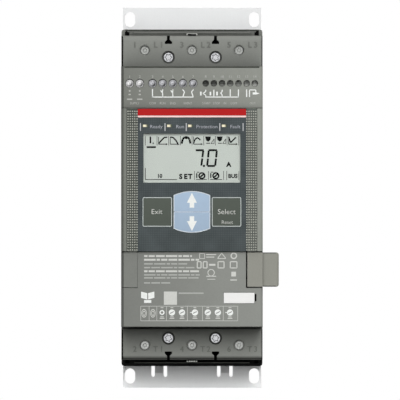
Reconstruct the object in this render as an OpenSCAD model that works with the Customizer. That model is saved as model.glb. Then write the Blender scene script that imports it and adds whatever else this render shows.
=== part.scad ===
// Soft starter for three-phase motors, wall mounted.
// X runs to the right, the front faces -Y and Z is up. The origin is on the wall, at the plate's centre.
// Depths are counted from the wall towards the front, so a depth d lies at y = -d.

/* [Housing] */
// Width of the housing
body_w = 90; // [88:1:110]
// Height of the housing
body_h = 215; // [209:1:240]
// Wall thickness of the housing mouldings
wall = 2.5; // [2:0.1:3]
// Gap at each seam between two mouldings
seam = 0.3; // [0.2:0.05:0.5]
// Clearance between pieces that slot into each other
fit = 0.2; // [0.1:0.05:0.3]
// Radius of the front vertical edges
edge_r = 2; // [0.6:0.1:2.5]
// Step from the housing's top edge down to the control section
line_step = 24.1; // [23:0.1:30]
// Step from the housing's bottom edge up to the label section
load_step = 25.5; // [23:0.1:30]
// Height of the control cover
control_h = 26.3; // [24:0.1:30]
// Height of the label cover
label_h = 47.7; // [45:0.1:52]

/* [Depths] */
// Depth of the heat sink, fins and base together
sink_d = 60; // [57:1:80]
// Thickness of the heat sink's base
sink_base = 10; // [8:0.5:12]
// Depth of the terminal blocks
power_d = 75.5; // [73:0.5:90]
// Height of the terminal covers over the blocks
cover_d = 8; // [7:0.5:10]
// Depth of the front housing
front_d = 40.5; // [38:0.5:55]
// Thickness of the control, label and blanking covers
face_t = 2.5; // [2:0.1:3]
// Height of the display bezel over the front housing
bezel_d = 4.7; // [4.4:0.1:6]
// Thickness of the keypad overlay
overlay_t = 0.5; // [0.3:0.1:0.8]
// Height of the keys over the overlay
key_proud = 0.3; // [0.2:0.1:0.6]

/* [Mounting plate] */
// Thickness of the plate's sheet
plate_t = 2; // [1.5:0.1:3]
// How far the plate stays inside each side of the housing
plate_inset = 0.5; // [0.2:0.1:2]
// How far the plate reaches past each end of the housing
plate_reach = 15; // [13:0.5:25]
// Distance from the housing's side to a mounting slot's centre
slot_in = 5; // [4.5:0.5:10]
// Distance from the housing's end to a mounting slot's centre
slot_out = 7.5; // [6.5:0.5:8]
// Width of a mounting slot
slot_w = 6.6; // [5:0.1:7]
// Length of a mounting slot
slot_l = 9.8; // [8:0.1:11]
// Width of a spring tongue
tongue_w = 5.7; // [4:0.1:8]
// Length of a spring tongue
tongue_l = 16; // [12:0.5:18]
// Angle by which a spring tongue leans forward
tongue_lean = 14; // [8:1:16]
// Distance from the housing's bottom edge down to the tongues' bend
tongue_drop = 5.5; // [4:0.5:7]
// Width of the slits beside a tongue
slit_w = 2.2; // [1.5:0.1:3]
// How far the slits run past the bend
slit_past = 2.5; // [2:0.1:4]
// Diameter of the plate screws
plate_screw = 4; // [3:0.5:5]
// Distance from the fins' ends to the plate screws
plate_screw_in = 22; // [15:0.5:30]
// Length of the plate screws
plate_screw_l = 16; // [10:1:24]
// How far a blind bore runs on past its screw
bore_over = 2; // [1:0.5:4]

/* [Heat sink and fans] */
// Thickness of a cooling fin
fin_t = 2; // [1.5:0.1:2.5]
// Number of cooling fins
fin_n = 15; // [11:1:16]
// Gap between the fins and the housing's top edge
fin_in = 3.5; // [2:0.5:6]
// Height of the fan bay below the fins
fan_bay = 29.5; // [28:0.5:36]
// Gap between the two fans
fan_apart = 2.3; // [2:0.1:6]
// Thickness of a fan's frame
fan_t = 20; // [15:1:20]
// Thickness of a fan frame's flanges
fan_flange = 3; // [2:0.5:4]
// Diameter of a fan's hub
fan_hub = 17; // [14:1:20]
// Diameter of a fan's shaft
fan_shaft = 3; // [2:0.5:4]
// Number of blades on a rotor
blade_n = 7; // [5:1:9]
// Thickness of a blade
blade_t = 1.1; // [0.8:0.1:1.6]
// Running gap between a rotor and its frame
fan_gap = 0.8; // [0.5:0.1:1.2]
// Wall thickness of the fan tray
tray_t = 1.6; // [1.2:0.1:1.8]
// Diameter of the fan screws
fan_screw = 3; // [2.5:0.1:3.4]
// Thickness of the finger guards
guard_t = 1.5; // [1:0.1:2]

/* [Power terminals] */
// Distance from the housing's side to the outer phases
phase_in = 15; // [13.5:0.5:16]
// Height of a terminal block
block_h = 31.5; // [30:0.5:36]
// Height of the set-back ledge at the end of the housing
ledge = 4.2; // [3.6:0.1:5]
// Depth of the ledge behind the blocks' front face
ledge_d = 20; // [14:0.5:21]
// Distance from the housing's end to the clamp screws
clamp_in = 13.5; // [12:0.5:15]
// Distance from the housing's end to the cover screws
fixing_in = 18; // [17:0.5:19]
// Width of a wire entry
entry_w = 13; // [10:0.5:14]
// Height left open for a wire in a clamp
wire_gap = 15; // [12:0.5:18]
// Inner width of a clamp cage
cage_w = 12; // [11.2:0.1:13]
// Height of a clamp cage
cage_h = 12; // [10:0.5:14]
// Thickness of a clamp cage's sides
cage_t = 2; // [1.5:0.1:2.5]
// Thickness of a clamp cage's threaded front
cage_nut = 4; // [3:0.5:5]
// Thickness of a clamp cage's pressing back
cage_back = 3; // [2:0.5:4]
// Gap between an open clamp cage and its busbar
cage_gap = 1.5; // [0.5:0.1:2]
// Width of a busbar
bar_w = 10; // [8:0.5:10]
// Thickness of a busbar
bar_t = 3; // [2:0.5:4]
// Distance from the blocks' front face back to the busbars
bar_in = 24; // [23:0.5:27]
// Diameter of a clamp screw
clamp_screw = 6; // [5:0.5:6.5]
// Size across the flats of a clamp screw's socket
clamp_key = 3; // [2.5:0.5:4]
// Diameter of the access holes over the clamp screws
access_hole = 7.2; // [7:0.1:8.5]
// Diameter of a cover screw
cover_screw = 4; // [3:0.5:4.5]
// Diameter of a cover screw's head
cover_head = 6.8; // [6:0.1:7.4]
// Radius of the terminal covers' outer front edge
cover_r = 3; // [2:0.1:4]
// Width of a terminal cover's tool slot
tee_w = 4.6; // [4:0.1:6]
// Width of a tool slot's stem
tee_stem = 1.8; // [1.2:0.1:2.4]
// Length of that stem down to the slot's shoulders
tee_neck = 2.6; // [2:0.1:3.5]
// Depth of a tool slot from the cover's edge
tee_h = 5.3; // [4.5:0.1:6]
// Width of the rebate along a cover's sides
rebate_w = 0.6; // [0.4:0.1:1]
// Depth of that rebate
rebate_d = 3; // [2:0.5:4]

/* [Control terminals] */
// Distance from the control section's top edge to the screw row
row_in = 10.7; // [9:0.1:12]
// Number of supply and relay terminals
supply_n = 7; // [5:1:7]
// Gap between the last supply and the first signal terminal
row_gap = 8; // [7:0.1:9]
// How much closer the signal terminals stand than the supply terminals
pitch_step = 1.25; // [1:0.05:1.5]
// Extra gap after the first two supply terminals
supply_break = 1.65; // [0.5:0.05:1.8]
// Distance from the housing's side to the first supply terminal
supply_in = 5.4; // [5:0.1:5.6]
// Gap between two supply terminals' screw heads
supply_gap = 1.45; // [1.2:0.05:2]
// Number of signal terminals
signal_n = 7; // [4:1:7]
// Distance from the housing's side to the last signal terminal
signal_in = 5.05; // [4.8:0.05:5.2]
// Gap between two signal terminals' screw heads
signal_gap = 1.5; // [1.3:0.05:2]
// Depth of the signal screws below the front housing's rim
signal_sink = 4.5; // [3:0.5:6]
// Wall between two control wires' entries
pocket_wall = 1.6; // [1.4:0.1:2.4]
// Height of a control terminal block
control_block_h = 19.5; // [18:0.5:21]

/* [Display and keys] */
// Width of the keypad overlay
overlay_w = 68.8; // [67:0.1:72]
// Height of the title strip
title_h = 4.2; // [3:0.1:5]
// Thickness of the title strip
title_t = 0.2; // [0.1:0.05:0.3]
// Width of the display window
lcd_w = 61.6; // [56:0.1:63]
// Height of the display window
lcd_h = 31.3; // [26:0.1:32]
// Distance from the bezel's top edge to the display window
lcd_in = 16.2; // [15:0.1:18]
// Distance from the bezel's top edge to the status lights
light_in = 11.4; // [10:0.1:12]
// Width of a status light
light_w = 3.1; // [2:0.1:4]
// Height of a status light
light_h = 1.5; // [1:0.1:2]
// Side of the square keys
key_w = 18.7; // [15:0.1:19]
// Distance from the centre to the square keys
key_x = 22; // [21.5:0.1:23]
// Distance from the bezel's bottom edge to the key row
key_row = 25.3; // [24:0.1:27]
// Width of the arrow keys
arrow_w = 23.3; // [20:0.1:23.6]
// Height of the two arrow keys together
arrow_h = 26.4; // [22:0.1:27]
// Radius of the arrow keys' outer edges
arrow_r = 27.4; // [20:0.1:40]
// Corner radius of the square keys
key_r = 1; // [0.5:0.1:3]
// Width of the raised rim round a key's face
key_rim = 0.5; // [0.3:0.1:1.5]
// Height of the rim over the key's face
rim_h = 0.1; // [0.05:0.05:0.2]
// Gap around each key
key_fit = 0.15; // [0.1:0.05:0.25]
// Press-in travel of a key
key_travel = 0.4; // [0.2:0.05:0.5]
// Width of the bezel's textured side bands
band_w = 6.9; // [5:0.1:7.5]

/* [Label section and bus connector] */
// Width of the side bays beside the label
bay_w = 10.6; // [9:0.1:11]
// Height of the side bays
bay_h = 22.7; // [20:0.1:24]
// Depth of the bus connector's bay
bay_d = 20.5; // [18:0.5:24]
// How far the cap's grip stands out of the side
cap_reach = 10.2; // [8:0.1:14]
// How far the cap's grip stands in front of the bay's floor
grip_in = 6; // [4:0.5:10]
// Width of the marker tag
tag_w = 19.8; // [14:0.1:22]
// Height of the marker tag
tag_h = 7.1; // [5:0.1:9]
// Distance from the housing's side to the marker tag
tag_in = 5.1; // [4.5:0.1:8]
// Distance from the label section's bottom edge to the marker tag
tag_up = 14.8; // [12:0.1:15]
// Width of the finger notch beside the marker tag
tag_notch = 1.1; // [0.8:0.1:1.6]
// Thickness of the marker tag
tag_t = 1; // [0.8:0.1:1.4]
// Diameter of the bus connector's contact boss
bus_boss = 10; // [8:0.5:11]

/* [Power parts and boards] */
// Gap between an outer thyristor module and the housing's side wall
module_gap = 0.5; // [0.3:0.1:2.5]
// Height of a thyristor module
module_h = 70; // [64:1:76]
// Depth of a thyristor module
module_d = 20; // [16:1:24]
// Thickness of a circuit board
board_t = 1.6; // [1.2:0.1:2]
// Gap under the control board's lower edge
board_foot = 4; // [2:0.5:8]
// Distance from the blocks' front face back to the power board
power_board_in = 12; // [10.5:0.5:13]
// Distance from the blocks' front face to the control board
control_board_out = 10; // [8:0.5:13]
// Distance from the front housing's rim back to the display board
display_board_in = 6.5; // [6:0.5:8]
// Height of a bypass relay
relay_h = 50; // [44:1:56]
// Height of a current transformer
ct_h = 16; // [12:1:20]
// Number of ventilation slots in each side
vent_n = 19; // [9:2:21]
// Width of a ventilation slot
vent_w = 2.4; // [1.6:0.1:3]
// Distance between two ventilation slots
vent_pitch = 6; // [5:0.1:6.4]
// Length of a ventilation slot
vent_l = 34; // [20:1:44]

/* [Hidden] */
$fn = 64;
half_w = body_w / 2;
z_top = body_h / 2;
z_bot = -z_top;
// Depths of the main planes, from the wall to the front
d_base = plate_t + sink_d - sink_base;
d_sink = plate_t + sink_d;
d_rear = d_sink + wall;
d_power = d_rear + power_d;
d_cover = d_power + cover_d;
d_front = d_power + front_d;
d_face = d_front + face_t;
d_bezel = d_front + bezel_d;
d_overlay = d_bezel + overlay_t;
d_key = d_overlay + key_proud;
d_bezel_in = d_bezel - wall;
// Heights of the front sections
front_top = z_top - line_step;
front_bot = z_bot + load_step;
bezel_top = front_top - control_h;
bezel_bot = front_bot + label_h;
bay_top = bezel_bot;
bay_bot = bay_top - bay_h;
bay_x = half_w - bay_w;
// Heat sink and fan bay
sink_w = body_w - 2 * (wall + fit);
fin_pitch = (sink_w - fin_t) / (fin_n - 1);
fin_bot = z_bot + fan_bay;
port_x = sink_w / 2 - fin_t / 2 - 1.5 * fin_pitch;
port_w = fin_pitch + fin_t;
plate_screw_z = [z_top - plate_screw_in, fin_bot + plate_screw_in];
tongue_z = z_bot - tongue_drop;
tongue_tip = [tongue_l * sin(tongue_lean), tongue_z + tongue_l * cos(tongue_lean)];
slit_z = tongue_z - slit_past + slit_w / 2;
fan_x = sink_w / 4;
d_tray = plate_t * cos(tongue_lean) + tongue_l * sin(tongue_lean) + fit;
d_tray_front = d_base - fit;
d_fan = (d_tray + d_tray_front) / 2;
// A fan is square: the tighter of its half of the tray's width and the tray's depth sets it
fan_w = min(sink_w / 2, d_tray_front - d_tray - 2 * tray_t) - fan_apart;
tray_bot = z_bot + 0.5;
tray_top = fin_bot - fit;
shelf_t = 2;
shaft_fit = 0.05;
fan_bot = tray_top - 3 - shelf_t - fan_t;
fan_top = fan_bot + fan_t;
fan_bore = fan_w / 2 - 1.3;
fan_hole = fan_w / 2 - 3.2;
guard_bar = 1.4;
fan_pin_bot = fan_bot + 4;
// Power terminals, written for the line end and mirrored for the load end
phase_pitch = half_w - phase_in;
module_w = 2 * (phase_in - wall - module_gap);
block_bot = z_top - block_h;
clamp_z = z_top - clamp_in;
fixing_z = z_top - fixing_in;
fixing_x = phase_pitch / 2;
d_block = d_rear + seam;
d_bar = d_power - bar_in;
d_bar_front = d_bar + bar_t;
cage_slide = 0.3;
chamber_w = cage_w + 2 * (cage_t + cage_slide);
chamber_top = z_top - ledge - wall;
d_ledge = d_power - ledge_d;
chamber_bot = block_bot + wall;
d_entry = d_bar - wire_gap;
screw_tip_gap = 0.3;
thread_fit = 0.05;
d_clamp_screw = d_cover - 4;
cover_bot = front_top + seam;
cover_top = z_top - ledge;
cover_skin = d_cover - wall;
collar_t = 1.6;
collar_up = 1.5;
boss_r = cover_head / 2 + 2.3;
d_head_seat = d_cover - 4.5;
cover_head_h = 3;
notch_w = 2.6;
notch_d = 12;
notch_x = half_w - wall - notch_w / 2;
rib_t = 1;
rib_out = 1.7;
rib_in = 8;
latch_w = 5;
latch_h = 1.2;
// Control terminals
row_w = body_w - supply_in - signal_in - row_gap - supply_break;
supply_pitch = (row_w + (signal_n - 1) * pitch_step) / (supply_n + signal_n - 2);
signal_pitch = supply_pitch - pitch_step;
supply_head = supply_pitch - supply_gap;
signal_head = signal_pitch - signal_gap;
pocket_w = signal_pitch - pocket_wall;
row_z = front_top - row_in;
control_top = front_top - wall - fit;
control_bot = control_top - control_block_h;
d_control_back = d_power + control_board_out + board_t;
d_control_front = d_front - fit;
d_pocket = d_front - 17;
pocket_d = 4;
pocket_deep = 15;
head_play = 0.2;
supply_rise = 0.7;
control_shaft = 0.6;
// Display and keys
overlay_top = bezel_top - seam;
overlay_bot = bezel_bot + seam;
title_top = bezel_top - 0.6;
lcd_top = bezel_top - lcd_in;
lcd_z = lcd_top - lcd_h / 2;
light_z = bezel_top - light_in;
light_xs = [-29.5, -14.2, -0.9, 20.6];
light_play = 0.1;
key_z = bezel_bot + key_row;
arrow_cz = arrow_h / 2 - arrow_r;
flange_t = 1.2;
flange_lip = 0.8;
d_flange_front = d_bezel_in - fit;
d_flange = d_flange_front - flange_t;
stem_r = 2;
stem_l = 0.7;
d_stem = d_flange - stem_l;
d_display = d_front - display_board_in;
d_display_front = d_display + board_t;
switch_w = 6;
switch_t = 2.6;
plunger_r = 1.6;
d_plunger = d_stem - key_travel - 0.15;
display_board_x = overlay_w / 2 - 0.9;
display_board_edge = 4;
display_post = 5;
display_post_in = display_board_edge + display_post / 2 + 0.5;
led_t = 0.6;
// Boards and power parts
d_power_board = d_power - power_board_in;
d_power_board_front = d_power_board + board_t;
d_control_board = d_power + control_board_out;
board_x = half_w - wall - 1.5;
board_post_r = 3;
post_x = board_x - 5;
power_board_z = block_bot - 4;
power_post_z = power_board_z - 7;
control_post_z = block_bot - 20;
bar_z = module_h / 2;
bar_end = chamber_top - 3;
bar_gap = 0.5;
landing = 17;
stud_r = 2.4;
stud_z = bar_z - landing / 2 - bar_t / 2;
relay_back = d_sink + module_d + 18;
relay_tab_w = 6;
relay_tab_t = 2;
ct_z = -bar_z - 8;
// Bus connector
tub_t = 1.2;
d_bay = d_front - bay_d;
bus_z = (bay_top + bay_bot) / 2;
d_bus = (d_bay + d_face) / 2;
boss_l = bay_w * 0.6;
cap_gap = 0.45;
cap_side_gap = 0.8;
cap_front = d_face + 1.2;
grip_front = cap_front - 0.8;
grip_back = d_bay + grip_in;
cap_r = 1.6;
blank_leg = 12;
vent_z = (vent_n - 1) / 2 * vent_pitch;
d_vent = (d_rear + d_power) / 2;

// Extrudes a drawing in (x, z) from depth d0 to depth d1
module slab(d0, d1) translate([0, -d0, 0]) rotate([90, 0, 0]) linear_extrude(d1 - d0) children();
// Extrudes a drawing in (depth, z) from x0 to x1
module span(x0, x1) translate([x1, 0, 0]) rotate([90, 0, -90]) linear_extrude(x1 - x0) children();
// Extrudes a drawing in (x, y) from z0 to z1
module rise(z0, z1) translate([0, 0, z0]) linear_extrude(z1 - z0) children();
// Round bar along the depth at (x, z)
module pin(x, z, d0, d1, r) translate([x, -d0, z]) rotate([90, 0, 0]) cylinder(r = r, h = d1 - d0);
// Hexagonal socket along the depth at (x, z)
module hex_pin(x, z, d0, d1, flats)
    translate([x, -d0, z]) rotate([90, 0, 0]) cylinder(d = flats / cos(30), h = d1 - d0, $fn = 6);
module rect(x0, x1, z0, z1) translate([x0, z0]) square([x1 - x0, z1 - z0]);
module round_rect(x0, x1, z0, z1, r) {
    rect(x0 + r, x1 - r, z0, z1);
    rect(x0, x1, z0 + r, z1 - r);
    for (x = [x0 + r, x1 - r], z = [z0 + r, z1 - r]) translate([x, z]) circle(r);
}
module upright_slot(w, l) {
    square([w, l - w], center = true);
    for (s = [-1, 1]) translate([0, s * (l - w) / 2]) circle(d = w);
}
// Section of a front moulding, with its two front edges rounded
module face_section(d0, d1) intersection() {
    rect(-half_w, half_w, -d1, -d0);
    union() {
        rect(-half_w, half_w, -d1 + edge_r, -d0);
        rect(-half_w + edge_r, half_w - edge_r, -d1, -d0);
        for (s = [-1, 1]) translate([s * (half_w - edge_r), -d1 + edge_r]) circle(edge_r);
    }
}
module load_end() mirror([0, 0, 1]) children();
function phase_x(i) = (i - 2) * phase_pitch;
function supply_x(i) = -half_w + supply_in + i * supply_pitch + (i > 1 ? supply_break : 0);
function signal_x(i) = half_w - signal_in - (signal_n - 1 - i) * signal_pitch;
control_split = (supply_x(supply_n - 1) + signal_x(0)) / 2;

module mounting_plate() color("gainsboro") {
    difference() {
        slab(0, plate_t) difference() {
            rect(-half_w + plate_inset, half_w - plate_inset, z_bot - plate_reach, z_top + plate_reach);
            for (x = [-1, 1], z = [-1, 1])
                translate([x * (half_w - slot_in), z * (z_top + slot_out)]) upright_slot(slot_w, slot_l);
            for (s = [-1, 1]) translate([s * fan_x, 0]) {
                rect(-tongue_w / 2 - slit_w, tongue_w / 2 + slit_w, slit_z, tongue_z + tongue_l);
                for (t = [-1, 1]) translate([t * (tongue_w + slit_w) / 2, slit_z]) circle(d = slit_w);
            }
        }
        for (s = [-1, 1], z = plate_screw_z) translate([s * port_x, 0, z]) rotate([90, 0, 0])
            cylinder(r1 = plate_screw / 2 + plate_t + fit, r2 = plate_screw / 2 + fit, h = plate_t);
    }
    for (s = [-1, 1]) span(s * fan_x - tongue_w / 2, s * fan_x + tongue_w / 2) polygon([
        [0, slit_z - plate_t], [plate_t, slit_z - plate_t],
        [plate_t, tongue_z - plate_t * tan(tongue_lean / 2)],
        tongue_tip + plate_t * [cos(tongue_lean), -sin(tongue_lean)], tongue_tip, [0, tongue_z],
    ]);
}

module plate_screws() color("silver")
    for (s = [-1, 1], z = plate_screw_z) difference() {
        union() {
            translate([s * port_x, 0, z]) rotate([90, 0, 0])
                cylinder(r1 = plate_screw / 2 + plate_t, r2 = plate_screw / 2, h = plate_t);
            pin(s * port_x, z, plate_t, plate_screw_l, plate_screw / 2);
        }
        hex_pin(s * port_x, z, -1, plate_t, plate_screw * 0.6);
    }

module heat_sink() color("lightsteelblue") difference() {
    union() {
        rise(fin_bot, z_top - fin_in) {
            for (i = [0 : fin_n - 1]) translate([-sink_w / 2 + i * fin_pitch, -d_base])
                square([fin_t, d_base - plate_t]);
            for (s = [-1, 1]) rect(s * port_x - port_w / 2, s * port_x + port_w / 2, -d_base, -plate_t);
        }
        rise(z_bot + fin_in, z_top - fin_in) rect(-sink_w / 2, sink_w / 2, -d_sink, -d_base);
    }
    for (s = [-1, 1], z = plate_screw_z)
        pin(s * port_x, z, 0, plate_screw_l + bore_over, plate_screw / 2 + thread_fit);
    for (s = [-1, 1], e = [-1, 1])
        pin(s * fixing_x, e * fixing_z, d_base - 1, d_sink + 1, cover_screw / 2 + thread_fit);
}

module rear_housing() color("dimgray") difference() {
    rise(z_bot, z_top) {
        for (s = [-1, 1]) translate([s * (half_w - wall / 2), -(plate_t + d_rear) / 2])
            square([wall, d_rear - plate_t], center = true);
        rect(-half_w, half_w, -d_rear, -d_sink);
    }
    slab(d_sink - 1, d_rear + 1)
        rect(-half_w + wall, half_w - wall, -module_h / 2 - wall, module_h / 2 + wall);
    for (s = [-1, 1], e = [-1, 1])
        pin(s * fixing_x, e * fixing_z, d_sink - 1, d_rear + 1, cover_screw / 2 + fit);
}

module fan_tray() color("#222222") difference() {
    union() {
        rise(tray_bot, tray_top) {
            rect(-sink_w / 2, sink_w / 2, -d_tray_front, -d_tray_front + tray_t);
            rect(-sink_w / 2, sink_w / 2, -d_tray - tray_t, -d_tray);
            rect(-tray_t / 2, tray_t / 2, -d_tray_front, -d_tray);
        }
        rise(fan_top, fan_top + shelf_t) rect(-sink_w / 2, sink_w / 2, -d_tray_front, -d_tray);
    }
    for (s = [-1, 1]) translate([s * fan_x, -d_fan, fan_top - 1]) cylinder(r = fan_bore, h = shelf_t + 2);
    fan_screw_places() translate([0, 0, fan_top - 1])
        cylinder(r = fan_screw / 2 + thread_fit, h = shelf_t + 2);
}

module fan_screw_places()
    for (s = [-1, 1], x = [-1, 1], y = [-1, 1])
        translate([s * fan_x + x * fan_hole, -d_fan + y * fan_hole, 0]) children();

module fan_frame(s) color("#1c1c1c") translate([s * fan_x, -d_fan, 0]) {
    difference() {
        union() {
            for (z = [fan_bot, fan_top - fan_flange]) rise(z, z + fan_flange)
                round_rect(-fan_w / 2, fan_w / 2, -fan_w / 2, fan_w / 2, 2.5);
            rise(fan_bot, fan_top) circle(fan_w / 2);
        }
        rise(fan_bot - 1, fan_top + 1) circle(fan_bore);
        for (x = [-1, 1], y = [-1, 1]) translate([x * fan_hole, y * fan_hole, fan_bot - 1])
            cylinder(r = fan_screw / 2 + fit, h = fan_t + 2);
    }
    rise(fan_top - 2, fan_top) {
        circle(d = fan_hub);
        for (a = [30 : 120 : 270]) rotate(a) rect(0, fan_bore + 0.5, -1.2, 1.2);
    }
    rise(fan_pin_bot, fan_top - 1) circle(d = fan_shaft);
}

module fan_rotor(s) color("#2b2b2b") translate([s * fan_x, -d_fan, 0]) {
    hub_bot = fan_bot + 2.5;
    hub_top = fan_top - 2 - fan_gap;
    blade_h = hub_top - hub_bot - 1.5;
    camber = blade_h * 0.9;
    difference() {
        union() {
            rise(hub_bot, hub_top) circle(d = fan_hub);
            intersection() {
                rise(hub_bot, hub_top) circle(fan_bore - fan_gap);
                for (i = [0 : blade_n - 1]) rotate(i * 360 / blade_n)
                    translate([fan_hub / 2 - 1, 0, (hub_bot + hub_top) / 2]) rotate([90, 0, 90])
                        linear_extrude(fan_bore) intersection() {
                            translate([-camber * 0.7, -camber * 0.7]) difference() {
                                circle(camber);
                                circle(camber - blade_t);
                            }
                            square(blade_h, center = true);
                        }
            }
        }
        rise(hub_bot - 1, hub_top + 1) circle(fan_shaft / 2 + shaft_fit);
    }
}

module fan_guards() color("#303030")
    for (s = [-1, 1]) translate([s * fan_x, -d_fan, 0]) rise(fan_bot - guard_t, fan_bot) difference() {
        union() {
            for (i = [0 : 3]) let (r = fan_hub / 2 + i * (fan_bore - fan_hub / 2) / 3) difference() {
                circle(r + guard_bar / 2);
                circle(r - guard_bar / 2);
            }
            for (a = [45, 135]) rotate(a) square([2 * fan_hole * sqrt(2), guard_bar], center = true);
            for (x = [-1, 1], y = [-1, 1])
                translate([x * fan_hole, y * fan_hole]) circle(fan_screw / 2 + guard_bar);
        }
        for (x = [-1, 1], y = [-1, 1]) translate([x * fan_hole, y * fan_hole]) circle(fan_screw / 2 + fit);
    }

module fan_screws() color("silver") fan_screw_places() {
    rise(fan_bot - guard_t - 1, fan_bot - guard_t) circle(fan_screw / 2 + 1.1);
    rise(fan_bot - guard_t, fan_top + shelf_t) circle(d = fan_screw);
}

module main_housing() color("dimgray") {
    difference() {
        rise(-block_bot + seam, block_bot - seam) {
            for (s = [-1, 1]) translate([s * (half_w - wall / 2), -(d_block + d_power) / 2])
                square([wall, d_power - d_block], center = true);
            rect(-half_w, half_w, -d_power, -d_power + wall);
        }
        slab(d_power - wall - 1, d_power + 1)
            rect(-post_x + 3 * board_post_r, post_x - 3 * board_post_r, -control_post_z, control_post_z);
        span(-half_w - 1, half_w + 1) for (i = [0 : vent_n - 1])
            translate([d_vent, i * vent_pitch - vent_z]) rotate(90) upright_slot(vent_w, vent_l);
    }
    for (s = [-1, 1], e = [-1, 1]) {
        pin(s * post_x, e * power_post_z, d_power_board_front, d_power - wall, board_post_r);
        pin(s * post_x, e * control_post_z, d_power, d_control_board, board_post_r);
    }
}

// Terminal block of the line end, with three chambers for the clamps
module terminal_block() {
    core_w = phase_pitch - chamber_w - 2 * wall;
    difference() {
        slab(d_block, d_power) union() {
            rect(-half_w, half_w, block_bot, z_top - edge_r);
            rect(-half_w + edge_r, half_w - edge_r, block_bot, z_top);
            for (s = [-1, 1]) translate([s * (half_w - edge_r), z_top - edge_r]) circle(edge_r);
        }
        for (i = [1 : 3]) {
            slab(d_block + wall, d_power + 1)
                rect(phase_x(i) - chamber_w / 2, phase_x(i) + chamber_w / 2, chamber_bot, chamber_top);
            slab(d_entry, d_bar)
                rect(phase_x(i) - entry_w / 2, phase_x(i) + entry_w / 2, chamber_top - 1, z_top + 1);
            slab(d_bar - bar_gap, d_bar_front + bar_gap) translate([phase_x(i), block_bot])
                rect(-bar_w / 2 - bar_gap, bar_w / 2 + bar_gap, -1, 2 * wall);
        }
        for (s = [-1, 1]) {
            slab(d_block - 1, d_power - wall) {
                rect(s * fixing_x - core_w / 2, s * fixing_x + core_w / 2, chamber_bot, fixing_z - boss_r);
                rect(s * fixing_x - core_w / 2, s * fixing_x + core_w / 2, fixing_z + boss_r, chamber_top);
            }
            pin(s * fixing_x, fixing_z, d_block - 1, d_power + 1, cover_screw / 2 + fit);
            slab(d_ledge - notch_d, d_power) translate([s * notch_x, cover_top + notch_w / 2])
                square(notch_w, center = true);
        }
        slab(d_ledge, d_power + 1) rect(-half_w - 1, half_w + 1, cover_top, z_top + 1);
    }
    slab(d_ledge - 1, d_power - ledge)
        rect(-half_w + rib_in, half_w - rib_in, z_top - rib_out - rib_t, z_top - rib_out);
    slab(d_ledge - 1, d_power + cover_d - cover_r)
        rect(-latch_w / 2 - 1, latch_w / 2 + 1, cover_top + fit, cover_top + fit + latch_h);
}

module line_terminal_block() color("gray") terminal_block();
module load_terminal_block() color("gray") load_end() terminal_block();

// Tool slot with sloping shoulders, hanging from a cover's edge
module tee_slot() let (w = tee_w / 2, stem = tee_stem / 2, mid = (tee_neck + tee_h) / 2) polygon([
    [-stem, 1], [stem, 1], [stem, -tee_neck], [w, -mid], [w, -tee_h],
    [-w, -tee_h], [-w, -mid], [-stem, -tee_neck]
]);
// Cover of the line terminals, a shell with screw bosses and access collars
module terminal_cover() {
    difference() {
        union() {
            difference() {
                intersection() {
                    rise(cover_bot, cover_top) face_section(d_power, d_cover);
                    span(-half_w, half_w) union() {
                        rect(d_power, d_cover, cover_bot, cover_top - cover_r);
                        rect(d_power, d_cover - cover_r, cover_bot, cover_top);
                        translate([d_cover - cover_r, cover_top - cover_r]) circle(cover_r);
                    }
                }
                slab(d_power - 1, cover_skin)
                    rect(-half_w + wall, half_w - wall, cover_bot + wall, cover_top - wall);
            }
            for (s = [-1, 1]) pin(s * fixing_x, fixing_z, d_power, cover_skin + 1, boss_r);
            for (i = [1 : 3])
                pin(phase_x(i), clamp_z, d_power + collar_up, cover_skin + 1, access_hole / 2 + collar_t);
        }
        for (i = [1 : 3]) pin(phase_x(i), clamp_z, d_power, d_cover + 1, access_hole / 2);
        for (s = [-1, 1]) {
            pin(s * fixing_x, fixing_z, d_power - 1, d_cover + 1, cover_screw / 2 + fit);
            pin(s * fixing_x, fixing_z, d_head_seat, d_cover + 1, cover_head / 2 + 0.7);
            slab(d_power - 1, d_cover + 1) translate([s * fixing_x, cover_top]) tee_slot();
            slab(d_cover - rebate_d, d_cover + 1) translate([s * half_w, 0])
                rect(-rebate_w, rebate_w, cover_bot - 1, cover_top + 1);
        }
        slab(d_power - 1, d_cover - cover_r + 1)
            rect(-latch_w / 2, latch_w / 2, cover_top - latch_h, cover_top + 1);
    }
}

module line_terminal_cover() color("gray") terminal_cover();
module load_terminal_cover() color("gray") {
    load_end() terminal_cover();
    slab(d_power, d_power + wall) rect(-half_w, half_w, -cover_bot - wall, front_bot - seam);
}

module cover_screws() color("silver") for (s = [-1, 1], e = [-1, 1]) difference() {
    union() {
        pin(s * fixing_x, e * fixing_z, d_base + 2, d_head_seat, cover_screw / 2);
        pin(s * fixing_x, e * fixing_z, d_head_seat, d_head_seat + cover_head_h, cover_head / 2);
    }
    hex_pin(s * fixing_x, e * fixing_z, d_head_seat + 1, d_cover, cover_screw * 0.8);
}

module thyristor_modules() color("#3a3a3a") for (i = [1 : 3]) translate([phase_x(i), 0, 0]) {
    slab(d_sink, d_sink + 4) rect(-module_w / 2, module_w / 2, -module_h / 2, module_h / 2);
    slab(d_sink + 3, d_sink + module_d)
        rect(-module_w / 2 + 2, module_w / 2 - 2, -module_h / 2, module_h / 2);
    for (e = [-1, 1]) pin(0, e * stud_z, d_sink + module_d - 1, d_sink + module_d + bar_t + 3, stud_r);
}

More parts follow.
